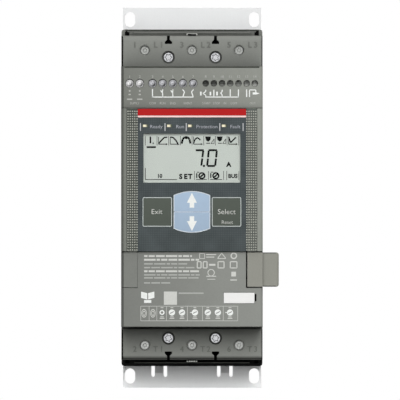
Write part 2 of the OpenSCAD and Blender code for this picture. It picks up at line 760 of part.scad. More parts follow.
// Busbars of the line end: landing on the module, riser, and tongue through the clamp
module busbars() for (i = [1 : 3]) difference() {
    span(phase_x(i) - bar_w / 2, phase_x(i) + bar_w / 2) union() {
        rect(d_sink + module_d, d_sink + module_d + bar_t, bar_z - landing, bar_z);
        rect(d_sink + module_d, d_bar_front, bar_z - bar_t, bar_z);
        rect(d_bar, d_bar_front, bar_z - bar_t, bar_end);
    }
    pin(phase_x(i), stud_z, d_sink + module_d - 1, d_sink + module_d + bar_t + 1, stud_r + fit);
}

module line_busbars() color("#b87333") busbars();
module load_busbars() color("#b87333") load_end() busbars();

// Clamp cage of the line end, standing open
module clamp(i) {
    d_nut = d_bar_front + cage_gap;
    difference() {
        rise(clamp_z - cage_h / 2, clamp_z + cage_h / 2) translate([phase_x(i), 0]) difference() {
            rect(-cage_w / 2 - cage_t, cage_w / 2 + cage_t, -d_nut - cage_nut, -d_entry + cage_back);
            rect(-cage_w / 2, cage_w / 2, -d_nut, -d_entry);
        }
        pin(phase_x(i), clamp_z, d_nut - 1, d_nut + cage_nut + 1, clamp_screw / 2 + thread_fit);
    }
}

module clamp_set_screw(i) difference() {
    pin(phase_x(i), clamp_z, d_bar_front + screw_tip_gap, d_clamp_screw, clamp_screw / 2);
    hex_pin(phase_x(i), clamp_z, d_clamp_screw - 3, d_clamp_screw + 1, clamp_key);
}

module line_clamp(i) color("#c0b070") clamp(i);
module load_clamp(i) color("#c0b070") load_end() clamp(i);
module line_screw(i) color("silver") clamp_set_screw(i);
module load_screw(i) color("silver") load_end() clamp_set_screw(i);

module bypass_relays() color("#20242a") for (i = [1 : 3]) translate([phase_x(i), 0, 0]) {
    slab(relay_back, d_power_board) rect(-module_w / 2, module_w / 2, -relay_h / 2, relay_h / 2);
    slab(relay_back + 2, relay_back + 2 + relay_tab_t)
        rect(-relay_tab_w / 2, relay_tab_w / 2, -bar_z + bar_t, bar_z - bar_t);
}

module current_transformers() color("#26324a") for (i = [1 : 3]) translate([phase_x(i), 0, 0]) difference() {
    slab(2 * d_bar - d_power_board + bar_t, d_power_board)
        rect(-module_w / 2, module_w / 2, ct_z - ct_h, ct_z);
    slab(d_bar - bar_gap, d_bar_front + bar_gap)
        rect(-bar_w / 2 - bar_gap, bar_w / 2 + bar_gap, ct_z - ct_h - 1, ct_z + 1);
}

module power_board() color("#1d5a34") slab(d_power_board, d_power_board_front)
    rect(-board_x, board_x, -power_board_z, power_board_z);

module control_board() color("#1d5a34") slab(d_control_board, d_control_board + board_t)
    rect(-board_x, board_x, front_bot + wall + board_foot, control_top);

module front_housing() color("gray") difference() {
    slab(d_power, d_front) difference() {
        rect(-half_w, half_w, front_bot, front_top);
        rect(-half_w + wall, half_w - wall, front_bot + wall, front_top - wall);
    }
    slab(d_pocket - 1, d_pocket + pocket_d + 1) for (r = [
        [supply_x(0), supply_x(supply_n - 1)], [signal_x(0), signal_x(signal_n - 1)]
    ]) rect(r[0] - pocket_w / 2, r[1] + pocket_w / 2, front_top - 2 * wall, front_top + 1);
    slab(d_front - blank_leg - seam, d_front + 1)
        rect(-half_w - 1, -half_w + 2 * wall, bay_bot - seam, bay_top + seam);
    slab(d_bay - tub_t - fit, d_front + 1)
        rect(half_w - 2 * wall, half_w + 1, bay_bot - tub_t - fit, bay_top + tub_t + fit);
}

module control_cover() color("gray") difference() {
    rise(bezel_top, front_top) face_section(d_front, d_face);
    for (i = [0 : supply_n - 1])
        pin(supply_x(i), row_z, d_front - 1, d_face + 1, supply_head / 2 + head_play);
    for (i = [0 : signal_n - 1])
        pin(signal_x(i), row_z, d_front - 1, d_face + 1, signal_head / 2 + head_play);
}

// Control terminal block from x0 to x1 with a head well and a wire pocket at each place
module control_block(x0, x1, places, head_r, well) difference() {
    slab(d_control_back, d_control_front) rect(x0, x1, control_bot, control_top);
    for (x = places) {
        pin(x, row_z, d_pocket, d_control_front + 1, head_r * control_shaft + head_play);
        pin(x, row_z, well, d_control_front + 1, head_r + head_play);
        slab(d_pocket, d_pocket + pocket_d)
            rect(x - pocket_w / 2, x + pocket_w / 2, control_top - pocket_deep, control_top + 1);
    }
}

module supply_terminal_block() color("#33362f") control_block(
    -half_w + wall + fit, control_split - fit, [for (i = [0 : supply_n - 1]) supply_x(i)],
    supply_head / 2, d_face - supply_rise - 2.4
);
module signal_terminal_block() color("#33362f") control_block(
    control_split + fit, half_w - wall - fit, [for (i = [0 : signal_n - 1]) signal_x(i)],
    signal_head / 2, d_front - signal_sink - 2
);

// Slotted terminal screw with its head's face at depth d1
module control_screw(x, d1, head_r, head_h) difference() {
    union() {
        pin(x, row_z, d1 - head_h, d1, head_r);
        pin(x, row_z, d_pocket + pocket_d - 1, d1 - head_h, head_r * control_shaft);
    }
    slab(d1 - head_h / 2, d1 + 1) translate([x, row_z])
        square([2 * head_r + 1, head_r * 0.3], center = true);
}

module supply_terminal_screws() color("silver")
    for (i = [0 : supply_n - 1]) control_screw(supply_x(i), d_face - supply_rise, supply_head / 2, 2.4);
module signal_terminal_screws() color("silver")
    for (i = [0 : signal_n - 1]) control_screw(signal_x(i), d_front - signal_sink, signal_head / 2, 2);

// Outline of a square key, grown by g
module square_key(s, g) let (r = key_w / 2 + g)
    translate([s * key_x, key_z]) round_rect(-r, r, -r, r, max(key_r + g, 0.1));
// Outline of the upper (s = 1) or lower (s = -1) arrow key, grown by g
module arrow_key(s, g) translate([0, key_z]) mirror([0, s < 0 ? 1 : 0]) intersection() {
    rect(-arrow_w / 2 - g, arrow_w / 2 + g, key_fit - g, arrow_h / 2 + g);
    translate([0, arrow_cz]) circle(arrow_r + g);
}
// Face of the upper arrow key inside its rim, open towards the lower key
module arrow_face() translate([0, key_z]) intersection() {
    rect(-arrow_w / 2 + key_rim, arrow_w / 2 - key_rim, 0, arrow_h / 2 - key_rim);
    translate([0, arrow_cz]) circle(arrow_r - key_rim);
}
module lcd_opening(g) rect(-lcd_w / 2 - g, lcd_w / 2 + g, lcd_z - lcd_h / 2 - g, lcd_z + lcd_h / 2 + g);
module light_openings(g)
    for (x = light_xs) translate([x, light_z]) square([light_w + 2 * g, light_h + 2 * g], center = true);
module front_openings() {
    lcd_opening(0);
    light_openings(light_play);
    for (s = [-1, 1]) {
        square_key(s, key_fit);
        arrow_key(s, key_fit);
    }
}

module display_bezel() color("gray") {
    difference() {
        rise(bezel_bot + seam, bezel_top - seam) face_section(d_front, d_bezel);
        slab(d_front - 1, d_bezel_in)
            rect(-half_w + wall, half_w - wall, bezel_bot + wall, bezel_top - wall);
        slab(d_bezel_in - 1, d_bezel + 1) front_openings();
        for (s = [-1, 1], x = [overlay_w / 2, overlay_w / 2 + band_w]) slab(d_bezel - 0.4, d_bezel + 1)
            translate([s * x, 0]) rect(-0.2, 0.2, bezel_bot, bezel_top);
    }
    for (s = [-1, 1], z = [bezel_bot + display_post_in, bezel_top - display_post_in])
        pin(
            s * (display_board_x - display_board_edge), z, d_display_front, d_bezel_in + 1, display_post / 2
        );
}

module keypad_overlay() color("#4a5254") slab(d_bezel, d_overlay) difference() {
    rect(-overlay_w / 2, overlay_w / 2, overlay_bot, overlay_top);
    front_openings();
}

module title_strip() color("#bb2225") slab(d_overlay, d_overlay + title_t)
    rect(-overlay_w / 2, overlay_w / 2, title_top - title_h, title_top);

// Key through the overlay, from its outline and its face inside the rim, with a lip at z0 and z1
module key_body(x, z, x0, x1, z0, z1) {
    slab(d_flange, d_flange_front) rect(x0, x1, z0, z1);
    difference() {
        slab(d_flange_front - 0.5, d_key) children(0);
        slab(d_key - rim_h, d_key + 1) children(1);
    }
    pin(x, z, d_stem, d_flange + 0.5, stem_r);
}
module square_key_body(s) key_body(
    s * key_x, key_z, s * key_x - key_w / 2, s * key_x + key_w / 2,
    key_z - key_w / 2 - flange_lip, key_z + key_w / 2 + flange_lip
) {
    square_key(s, 0);
    square_key(s, -key_rim);
}
module arrow_key_body(s) translate([0, 0, key_z]) mirror([0, 0, s < 0 ? 1 : 0]) translate([0, 0, -key_z])
    key_body(
        0, key_z + arrow_h / 4, -arrow_w / 2, arrow_w / 2, key_z + key_fit, key_z + arrow_h / 2 + flange_lip
    ) {
        arrow_key(1, 0);
        arrow_face();
    }

module exit_key() color("#565b54") square_key_body(-1);
module select_key() color("#565b54") square_key_body(1);
module up_key() color("#a7bacd") arrow_key_body(1);
module down_key() color("#a7bacd") arrow_key_body(-1);

key_places = [[-key_x, key_z], [key_x, key_z], [0, key_z + arrow_h / 4], [0, key_z - arrow_h / 4]];

module display_board() color("#1d5a34") {
    slab(d_display, d_display_front) rect(
        -display_board_x, display_board_x, bezel_bot + display_board_edge, bezel_top - display_board_edge
    );
    for (x = light_xs) slab(d_display_front, d_display_front + led_t) translate([x, light_z])
        square([light_w * 0.7, light_h * 0.8], center = true);
}

module key_switches() color("#202020") for (p = key_places) {
    slab(d_display_front, d_display_front + switch_t) translate(p) square(switch_w, center = true);
    pin(p[0], p[1], d_display_front + switch_t - 0.5, d_plunger, plunger_r);
}

module lcd_module() color("#c3cac3") slab(d_display_front, d_bezel_in - seam) lcd_opening(1.6);

module lcd_window() color("#dfe6e0", 0.4) slab(d_bezel - 1, d_overlay - 0.1) lcd_opening(-light_play);

module status_lights() color("#d8d88a") slab(d_display_front + led_t, d_overlay - 0.05) light_openings(0);

// Outline of the marker tag, drawn in by g
module tag_outline(g)
    translate([half_w - tag_in - tag_w, front_bot + tag_up]) rect(g, tag_w - g, g, tag_h - g);

module label_cover() color("gray") {
    difference() {
        union() {
            rise(front_bot, bay_bot - seam) face_section(d_front, d_face);
            slab(d_front, d_face) rect(-bay_x, bay_x, bay_bot - seam, bezel_bot);
        }
        slab(d_face - tag_t, d_face + 1) tag_outline(0);
        slab(d_front + (face_t - tag_t) / 2, d_face + 1)
            translate([half_w - tag_in - fit, front_bot + tag_up])
                rect(0, tag_notch + fit, tag_h * 0.2, tag_h * 0.85);
    }
    for (s = [-1, 1]) slab(d_front - 4, d_front) translate([s * (half_w - wall - fit - 0.6), 0])
        rect(-0.6, 0.6, front_bot + 2 * wall, bay_bot - 2 * wall);
}

module blanking_cover() color("#7f817c") {
    intersection() {
        rise(bay_bot, bay_top) face_section(d_front, d_face - fit);
        slab(d_front, d_face) rect(-half_w, -bay_x - seam, bay_bot, bay_top);
    }
    slab(d_front - blank_leg, d_front) rect(-half_w, -half_w + wall, bay_bot, bay_top);
}

module marker_tag() color("white") slab(d_face - tag_t, d_face) tag_outline(fit);

module bus_socket() color("#3c3e3a") {
    difference() {
        slab(d_bay - tub_t, d_front - fit) rect(bay_x - tub_t, half_w, bay_bot - tub_t, bay_top + tub_t);
        slab(d_bay, d_front) rect(bay_x, half_w + 1, bay_bot, bay_top);
    }
    difference() {
        translate([bay_x - 0.5, -d_bus, bus_z]) rotate([0, 90, 0]) cylinder(d = bus_boss, h = boss_l + 0.5);
        for (a = [0 : 72 : 288]) translate([bay_x + 1, -d_bus, bus_z]) rotate([a, 0, 0])
            translate([0, bus_boss * 0.28, 0]) rotate([0, 90, 0]) cylinder(d = bus_boss * 0.13, h = boss_l);
    }
}

module bus_cap() color("#93938b") difference() {
    union() {
        slab(d_bay + cap_gap, cap_front)
            rect(bay_x + cap_side_gap, half_w, bay_bot + cap_gap, bay_top - cap_gap);
        intersection() {
            slab(grip_back, grip_front) union() {
                rect(half_w - 1, half_w + cap_reach - cap_r, bay_bot + cap_gap, bay_top - cap_gap);
                round_rect(half_w - 1, half_w + cap_reach, bay_bot + cap_gap, bay_top - cap_gap, cap_r);
            }
            rise(bay_bot, bay_top) union() {
                rect(half_w - 1, half_w + cap_reach - cap_r, -grip_front, -grip_back);
                round_rect(half_w - 1, half_w + cap_reach, -grip_front, -grip_back, cap_r);
            }
        }
    }
    translate([bay_x, -d_bus, bus_z]) rotate([0, 90, 0])
        cylinder(r = bus_boss / 2 + cap_gap, h = boss_l + cap_gap);
}

mounting_plate();
plate_screws();
heat_sink();
rear_housing();
fan_tray();
fan_frame(-1);  // fan_frame_left
fan_frame(1);  // fan_frame_right
fan_rotor(-1);  // fan_rotor_left
fan_rotor(1);  // fan_rotor_right
fan_guards();
fan_screws();
main_housing();
line_terminal_block();
load_terminal_block();
line_terminal_cover();
load_terminal_cover();
cover_screws();
for (i = [1 : 3]) {
    line_clamp(i);
    load_clamp(i);
    line_screw(i);
    load_screw(i);
}
thyristor_modules();
line_busbars();
load_busbars();
bypass_relays();
current_transformers();
power_board();
control_board();
front_housing();
control_cover();
supply_terminal_block();
signal_terminal_block();
supply_terminal_screws();
signal_terminal_screws();
display_bezel();
keypad_overlay();
title_strip();
exit_key();
select_key();
up_key();
down_key();
display_board();
key_switches();
lcd_module();
lcd_window();
status_lights();
label_cover();
blanking_cover();
marker_tag();
bus_socket();
bus_cap();
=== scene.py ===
"""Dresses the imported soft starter: finishes, print, display, screws and studio."""

import logging
import math
from dataclasses import dataclass
from enum import Enum

import bmesh
import bpy
from mathutils import Matrix, Vector


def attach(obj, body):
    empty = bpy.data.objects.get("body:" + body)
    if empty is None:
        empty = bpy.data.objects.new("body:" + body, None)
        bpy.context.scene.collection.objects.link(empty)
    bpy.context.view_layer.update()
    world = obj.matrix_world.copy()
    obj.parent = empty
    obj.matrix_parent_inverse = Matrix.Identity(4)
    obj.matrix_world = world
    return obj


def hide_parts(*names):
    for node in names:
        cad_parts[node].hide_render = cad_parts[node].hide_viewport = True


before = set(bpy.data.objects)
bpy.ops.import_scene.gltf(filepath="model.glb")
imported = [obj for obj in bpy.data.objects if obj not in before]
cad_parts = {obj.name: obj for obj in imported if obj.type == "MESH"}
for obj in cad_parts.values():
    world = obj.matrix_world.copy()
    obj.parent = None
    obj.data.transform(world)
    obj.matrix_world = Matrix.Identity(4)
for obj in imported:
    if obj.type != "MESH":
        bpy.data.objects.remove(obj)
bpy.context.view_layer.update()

LOG = logging.getLogger("soft_starter")

# Metres in a millimetre: pieces are given in millimetres, finishes and the studio in metres.
MM = 0.001
# How deep a flat shape sits in its face and how far it stands out, in millimetres.
SUNK = 0.02
PROUD = 0.04
# Height of a capital as a share of the font's size.
CAP_SHARE = 0.729
# Sides of filled circles and of rings in print.
DISC_SEGMENTS = 24
RING_SEGMENTS = 28
# Half the width over which painted light and shade change the tone across the front.
HALF_WIDTH = 0.042
# Radius of the rounded edges of mouldings and of finer parts.
EDGE_RADIUS = 0.0004
FINE_RADIUS = 0.0002
# Where most values of a noise lie.
NOISE_SPAN = (0.3, 0.7)
# Specular level of moulded plastic and of print.
PLASTIC_SHEEN = 0.18
PRINT_SHEEN = 0.12
DUST_COLOUR = (172, 170, 162)
BLACK_TONE = (0.0, 0.0, 0.0, 1.0)
WHITE_TONE = (1.0, 1.0, 1.0, 1.0)

Colour = tuple[int, int, int]
Point = tuple[float, float]
Span = tuple[float, float]
Place = tuple[float, float, float]
# Left, right, bottom and top of a rectangle on a front face.
Box = tuple[float, float, float, float]
# Half the width of an upright bar, and its lower and upper end.
Post = tuple[float, float, float]
# A socket to link from, or a plain value to set.
Value = object
Inputs = dict[str | int, Value]
Socket = bpy.types.NodeSocket
BMesh = bmesh.types.BMesh
BMEdge = bmesh.types.BMEdge
BMVert = bmesh.types.BMVert


class Body(Enum):
    """Bodies of the record that new pieces ride on."""

    HOUSING = "housing"
    EXIT_KEY = "exit_key"
    SELECT_KEY = "select_key"
    UP_KEY = "up_key"
    DOWN_KEY = "down_key"
    BUS_CAP = "bus_cap"


class Slot(Enum):
    """Material slots of the record."""

    GREY = "grey_plastic"
    BLACK = "black_plastic"
    CAP = "cap_grey"
    STEEL = "screw_steel"
    FOIL = "overlay_foil"
    LCD = "lcd_grey"


class Drive(Enum):
    """The recess in a screw's head."""

    LOBED = "lobed"
    SLOT = "slot"


def linear(colour: Colour, gain: float = 1.0) -> tuple[float, float, float, float]:
    """Turns a screen colour into linear RGBA.

    Args:
        colour: Red, green and blue from 0 to 255, as they look on screen.
        gain: Factor on the linear values.

    Returns:
        The four linear values.
    """
    shares = [value / 255 for value in colour]
    values = [s / 12.92 if s <= 0.04045 else ((s + 0.055) / 1.055) ** 2.4 for s in shares]
    return (*(min(value * gain, 1.0) for value in values), 1.0)


class Tree:
    """A shader node tree that is being put together."""

    def __init__(self, tree: bpy.types.NodeTree) -> None:
        """Wraps a node tree."""
        self.tree = tree

    def feed(self, node: bpy.types.Node, inputs: Inputs) -> None:
        """Links sockets to a node's inputs and sets the plain values.

        Args:
            node: The node that takes the inputs.
            inputs: Sockets or values by the input's name or number.
        """
        for key, value in inputs.items():
            if isinstance(value, Socket):
                self.tree.links.new(value, node.inputs[key])
            else:
                node.inputs[key].default_value = value

    def add(self, kind: str, inputs: Inputs | None = None, **settings: Value) -> bpy.types.Node:
        """Adds a node.

        Args:
            kind: The node's type without the ShaderNode prefix.
            inputs: Sockets or values for its inputs.
            settings: The node's own properties.

        Returns:
            The new node.
        """
        node = self.tree.nodes.new(f"ShaderNode{kind}")
        for key, value in settings.items():
            setattr(node, key, value)
        self.feed(node, inputs or {})
        return node

    def effect(self, name: str, **inputs: Value) -> bpy.types.NodeOutputs:
        """Adds a shared effect, feeds its inputs and returns its outputs."""
        return self.add("Group", inputs, node_tree=Effects.get(name)).outputs

    def mix(self, share: Value, first: Value, second: Value) -> Socket:
        """Mixes two colours by a share, through the colour sockets of the Mix node."""
        return self.add("Mix", {0: share, 6: first, 7: second}, data_type="RGBA").outputs[2]

    def vary(self, share: Value, colour: Colour, spread: float) -> Socket:
        """A colour that goes from darker to lighter with a share."""
        return self.mix(share, linear(colour, 1 - spread), linear(colour, 1 + spread))

    def darken(self, share: Value, tone: Value) -> Socket:
        """Takes a colour towards black by a share."""
        return self.mix(share, tone, BLACK_TONE)

    def math(self, operation: str, *values: Value) -> Socket:
        """Joins values by one Math operation."""
        return self.add("Math", dict(enumerate(values)), operation=operation).outputs[0]

    def product(self, first: Value, second: Value) -> Socket:
        """Multiplies two values."""
        return self.math("MULTIPLY", first, second)

    def blend(self, first: Value, second: Value, share: float) -> Socket:
        """Adds up two values, the first by a share and the second by the rest."""
        return self.math("MULTIPLY_ADD", first, share, self.product(second, 1 - share))

    def remap(self, value: Value, old: Span, new: Span = (0.0, 1.0)) -> Socket:
        """Moves a value from one range to another, held at the ends."""
        return self.add("MapRange", dict(enumerate((value, *old, *new)))).outputs[0]

    def place(self, scale: Place = (1, 1, 1), turn: float = 0.0) -> Socket:
        """Object coordinates, scaled and turned about X."""
        spot = self.add("TexCoord").outputs["Object"]
        return self.add("Mapping", {"Vector": spot, "Scale": scale, "Rotation": (turn, 0, 0)}).outputs[0]

    def split(self, vector: Value) -> bpy.types.NodeOutputs:
        """The X, Y and Z of a vector."""
        return self.add("SeparateXYZ", {0: vector}).outputs

    def axes(self) -> bpy.types.NodeOutputs:
        """The X, Y and Z of the object coordinates."""
        return self.split(self.place())

    def normal(self) -> Socket:
        """The way that the surface looks."""
        return self.add("NewGeometry").outputs["Normal"]

    def dot(self, vector: Value, way: Place) -> Socket:
        """How far a vector points one way."""
        return self.add("VectorMath", {0: vector, 1: way}, operation="DOT_PRODUCT").outputs["Value"]

    def noise(self, vector: Value, scale: Value, detail: float = 2.0) -> Socket:
        """Noise between 0 and 1."""
        return self.add("TexNoise", {"Vector": vector, "Scale": scale, "Detail": detail}).outputs[0]

    def crease(self, reach: float, depth: float) -> Socket:
        """Painted shade: how far places that see little open space get darker, up to a depth."""
        open_share = self.add("AmbientOcclusion", {"Distance": reach}, samples=6).outputs["AO"]
        return self.remap(open_share, (0.35, 1.0), (depth, 0.0))

    def rounded(self, radius: float) -> Socket:
        """Normals that round off the edges."""
        return self.add("Bevel", {"Radius": radius}, samples=4).outputs[0]

    def bump(self, height: Value, strength: float, distance: float, radius: float) -> Socket:
        """Normals of a fine relief over rounded edges."""
        return self.add("Bump", {"Height": height, "Strength": strength, "Distance": distance,
                                 "Normal": self.rounded(radius)}).outputs[0]


class EffectGroup:
    """A shared effect: a shader node group that puts out only masks and values."""

    def __init__(self, name: str, inputs: tuple[str, ...], outputs: tuple[str, ...]) -> None:
        """Opens an empty group with float sockets.

        Args:
            name: The group's name.
            inputs: Names of the values that it takes.
            outputs: Names of the masks that it puts out.
        """
        self.data = bpy.data.node_groups.new(name, "ShaderNodeTree")
        for direction, names in (("INPUT", inputs), ("OUTPUT", outputs)):
            for socket in names:
                self.data.interface.new_socket(socket, in_out=direction, socket_type="NodeSocketFloat")
        self.tree = Tree(self.data)
        self.given = self.data.nodes.new("NodeGroupInput").outputs
        self.result = self.data.nodes.new("NodeGroupOutput")

    def close(self, **masks: Socket) -> bpy.types.NodeTree:
        """Links the masks to the group's outputs and returns its tree."""
        self.tree.feed(self.result, masks)
        return self.data


class Effects:
    """The shared effects, each made the first time that it is asked for."""

    _made: dict[str, bpy.types.NodeTree] = {}

    @classmethod
    def get(cls, name: str) -> bpy.types.NodeTree:
        """The effect's node group by the name of the method that makes it.

        Args:
            name: The method's name.

        Returns:
            The group, made once.
        """
        if name not in cls._made:
            cls._made[name] = getattr(cls, name)()
        return cls._made[name]

    @staticmethod
    def mould_grain() -> bpy.types.NodeTree:
        """Fine moulded texture, and soft clouds of slightly different tone.

        Returns:
            The node group.
        """
        group = EffectGroup("mould_grain", ("Scale",), ("Height", "Mottle"))
        tree = group.tree
        spot = tree.place()
        fine = tree.noise(spot, group.given["Scale"], 3.0)
        broad = tree.noise(spot, 38.0, 4.0)
        speck = tree.noise(spot, 900.0, 1.0)
        return group.close(Height=fine, Mottle=tree.remap(tree.blend(speck, broad, 0.4), NOISE_SPAN))

    @staticmethod
    def settled_dust() -> bpy.types.NodeTree:
        """Thin dust on faces that look up.

        Returns:
            The node group.
        """
        group = EffectGroup("settled_dust", ("Amount",), ("Mask",))
        tree = group.tree
        rise = tree.split(tree.normal())["Z"]
        cloud = tree.remap(tree.noise(tree.place(), 120.0, 5.0), (0.35, 0.7), (0.2, 1.0))
        upward = tree.remap(rise, (0.4, 1.0))
        return group.close(Mask=tree.product(tree.product(cloud, upward), group.given["Amount"]))

    @staticmethod
    def drawn_streaks() -> bpy.types.NodeTree:
        """Fine lines along Z, as rolling and drawing leave them on metal.

        Returns:
            The node group.
        """
        group = EffectGroup("drawn_streaks", ("Scale",), ("Lines", "Cloud"))
        lines = group.tree.noise(group.tree.place((1.0, 1.0, 0.02)), group.given["Scale"], 2.0)
        cloud = group.tree.noise(group.tree.place(), 60.0, 4.0)
        return group.close(Lines=lines, Cloud=cloud)

    @staticmethod
    def fine_grid() -> bpy.types.NodeTree:
        """A fine square grid on the front: 1 on its lines.

        Returns:
            The node group.
        """
        group = EffectGroup("fine_grid", ("Pitch", "Line"), ("Mask",))
        grid = group.tree.add("TexBrick", {
            "Vector": group.tree.place(turn=-math.pi / 2), "Scale": 1.0, "Mortar Size": group.given["Line"],
            "Mortar Smooth": 0.2, "Brick Width": group.given["Pitch"], "Row Height": group.given["Pitch"],
        }, offset=0.0, squash=1.0)
        return group.close(Mask=grid.outputs["Fac"])


@dataclass(frozen=True)
class Finish:
    """A finish that makes its material once."""

    name: str
    colour: Colour
    roughness: float = 0.5

    def material(self) -> bpy.types.Material:
        """The finish's material, made the first time that it is asked for.

        Returns:
            The material.
        """
        label = f"finish_{self.name}"
        found = bpy.data.materials.get(label)
        if found:
            return found
        material = bpy.data.materials.new(label)
        material.use_nodes = True
        self.shade(Tree(material.node_tree), material.node_tree.nodes["Principled BSDF"])
        return material

    def shade(self, tree: Tree, shader: bpy.types.Node) -> None:
        """Puts the finish's nodes in front of its shader.

        Args:
            tree: The material's node tree.
            shader: Its Principled BSDF.
        """
        raise NotImplementedError

    def uneven_gloss(self, tree: Tree, mask: Value, span: Span, spread: float) -> Socket:
        """The roughness, which wanders with a mask by a spread either way."""
        return tree.remap(mask, span, (self.roughness - spread, self.roughness + spread))


@dataclass(frozen=True)
class Plastic(Finish):
    """Moulded plastic with a fine grain, soft edges, a little dust, and painted light and shade.

    Attributes:
        grain_scale: Scale of the moulded texture.
        grain: Strength of its relief.
        grain_depth: Depth of its relief.
        mottle: How far the tone wanders.
        dust: Amount of dust on faces that look up.
        edge: Radius of the rounded edges.
        crease: How dark the painted shade in creases gets.
        reach: How far away a face still darkens a place.
        eased: Share of that painted shade that is left at the right.
        sides: Factors on the tone at the left and at the right: painted light and shade across.
        foot: Colour of the front below a line: painted shade.
        foot_z: Height of that line.
        foot_soft: How softly the colour changes there.
        lee: How dark the painted shade on the left rim gets.
        lee_x: Where that rim ends, across.
        lee_y: How far back it reaches from the front.
        lee_strip: How dark the painted shade on a strip beside the rim gets.
        strip_x: Where that strip ends, across.
    """

    grain_scale: float = 2600.0
    grain: float = 0.25
    grain_depth: float = 0.00008
    mottle: float = 0.05
    dust: float = 0.25
    edge: float = EDGE_RADIUS
    crease: float = 0.55
    reach: float = 0.018
    eased: float = 1.0
    sides: Span = (1.0, 1.0)
    foot: Colour | None = None
    foot_z: float = 0.0
    foot_soft: float = 0.0002
    lee: float = 0.0
    lee_x: Span = (-0.0435, -0.0431)
    lee_y: Span = (-0.179, -0.177)
    lee_strip: float = 0.0
    strip_x: Span = (-0.0416, -0.0412)

    def shade(self, tree: Tree, shader: bpy.types.Node) -> None:
        """Mottled colour with painted light and shade across, at the left rim, below a line and in creases,
        grain as bump over rounded edges.

        Args:
            tree: The material's node tree.
            shader: Its Principled BSDF.
        """
        grain = tree.effect("mould_grain", Scale=self.grain_scale)
        dust = tree.effect("settled_dust", Amount=self.dust)["Mask"]
        tone = tree.vary(grain["Mottle"], self.colour, self.mottle)
        bump = tree.bump(grain["Height"], self.grain, self.grain_depth, self.edge)
        axes = tree.axes()
        # Painted light and shade: the tone changes from the left to the right.
        across = tree.remap(axes["X"], (-HALF_WIDTH, HALF_WIDTH), self.sides)
        tone = tree.add("VectorMath", {0: tone, "Scale": across}, operation="SCALE").outputs[0]
        # Painted shade on the faces below the foot's line.
        if self.foot:
            tone = tree.mix(self._below(tree, axes["Z"]), tone, linear(self.foot))
        # Painted shade on the left rim and on a strip beside it.
        if self.lee:
            turned = tree.math("MAXIMUM", tree.remap(axes["X"], self.lee_x, (self.lee, 0.0)),
                               tree.remap(axes["X"], self.strip_x, (self.lee_strip, 0.0)))
            tone = tree.darken(tree.product(turned, tree.remap(axes["Y"], self.lee_y, (1.0, 0.0))), tone)
        dusted = tree.mix(dust, tone, linear(DUST_COLOUR))
        # Painted shade in creases, eased towards the right.
        hidden = tree.product(tree.crease(self.reach, self.crease),
                              tree.remap(axes["X"], (0.0, HALF_WIDTH), (1.0, self.eased)))
        tree.feed(shader, {
            "Base Color": tree.darken(hidden, dusted),
            "Roughness": self.uneven_gloss(tree, grain["Mottle"], (0, 1), 0.05),
            "Specular IOR Level": PLASTIC_SHEEN, "Normal": bump,
        })

    def _below(self, tree: Tree, height: Socket) -> Socket:
        """Mask of the painted shade: faces that look forwards below the foot's line.

        Args:
            tree: The material's node tree.
            height: Height in object coordinates.

        Returns:
            The mask.
        """
        ends = (self.foot_z - self.foot_soft, self.foot_z + self.foot_soft)
        forwards = tree.split(tree.normal())["Y"]
        return tree.product(tree.remap(height, ends, (1.0, 0.0)), tree.math("LESS_THAN", forwards, -0.5))


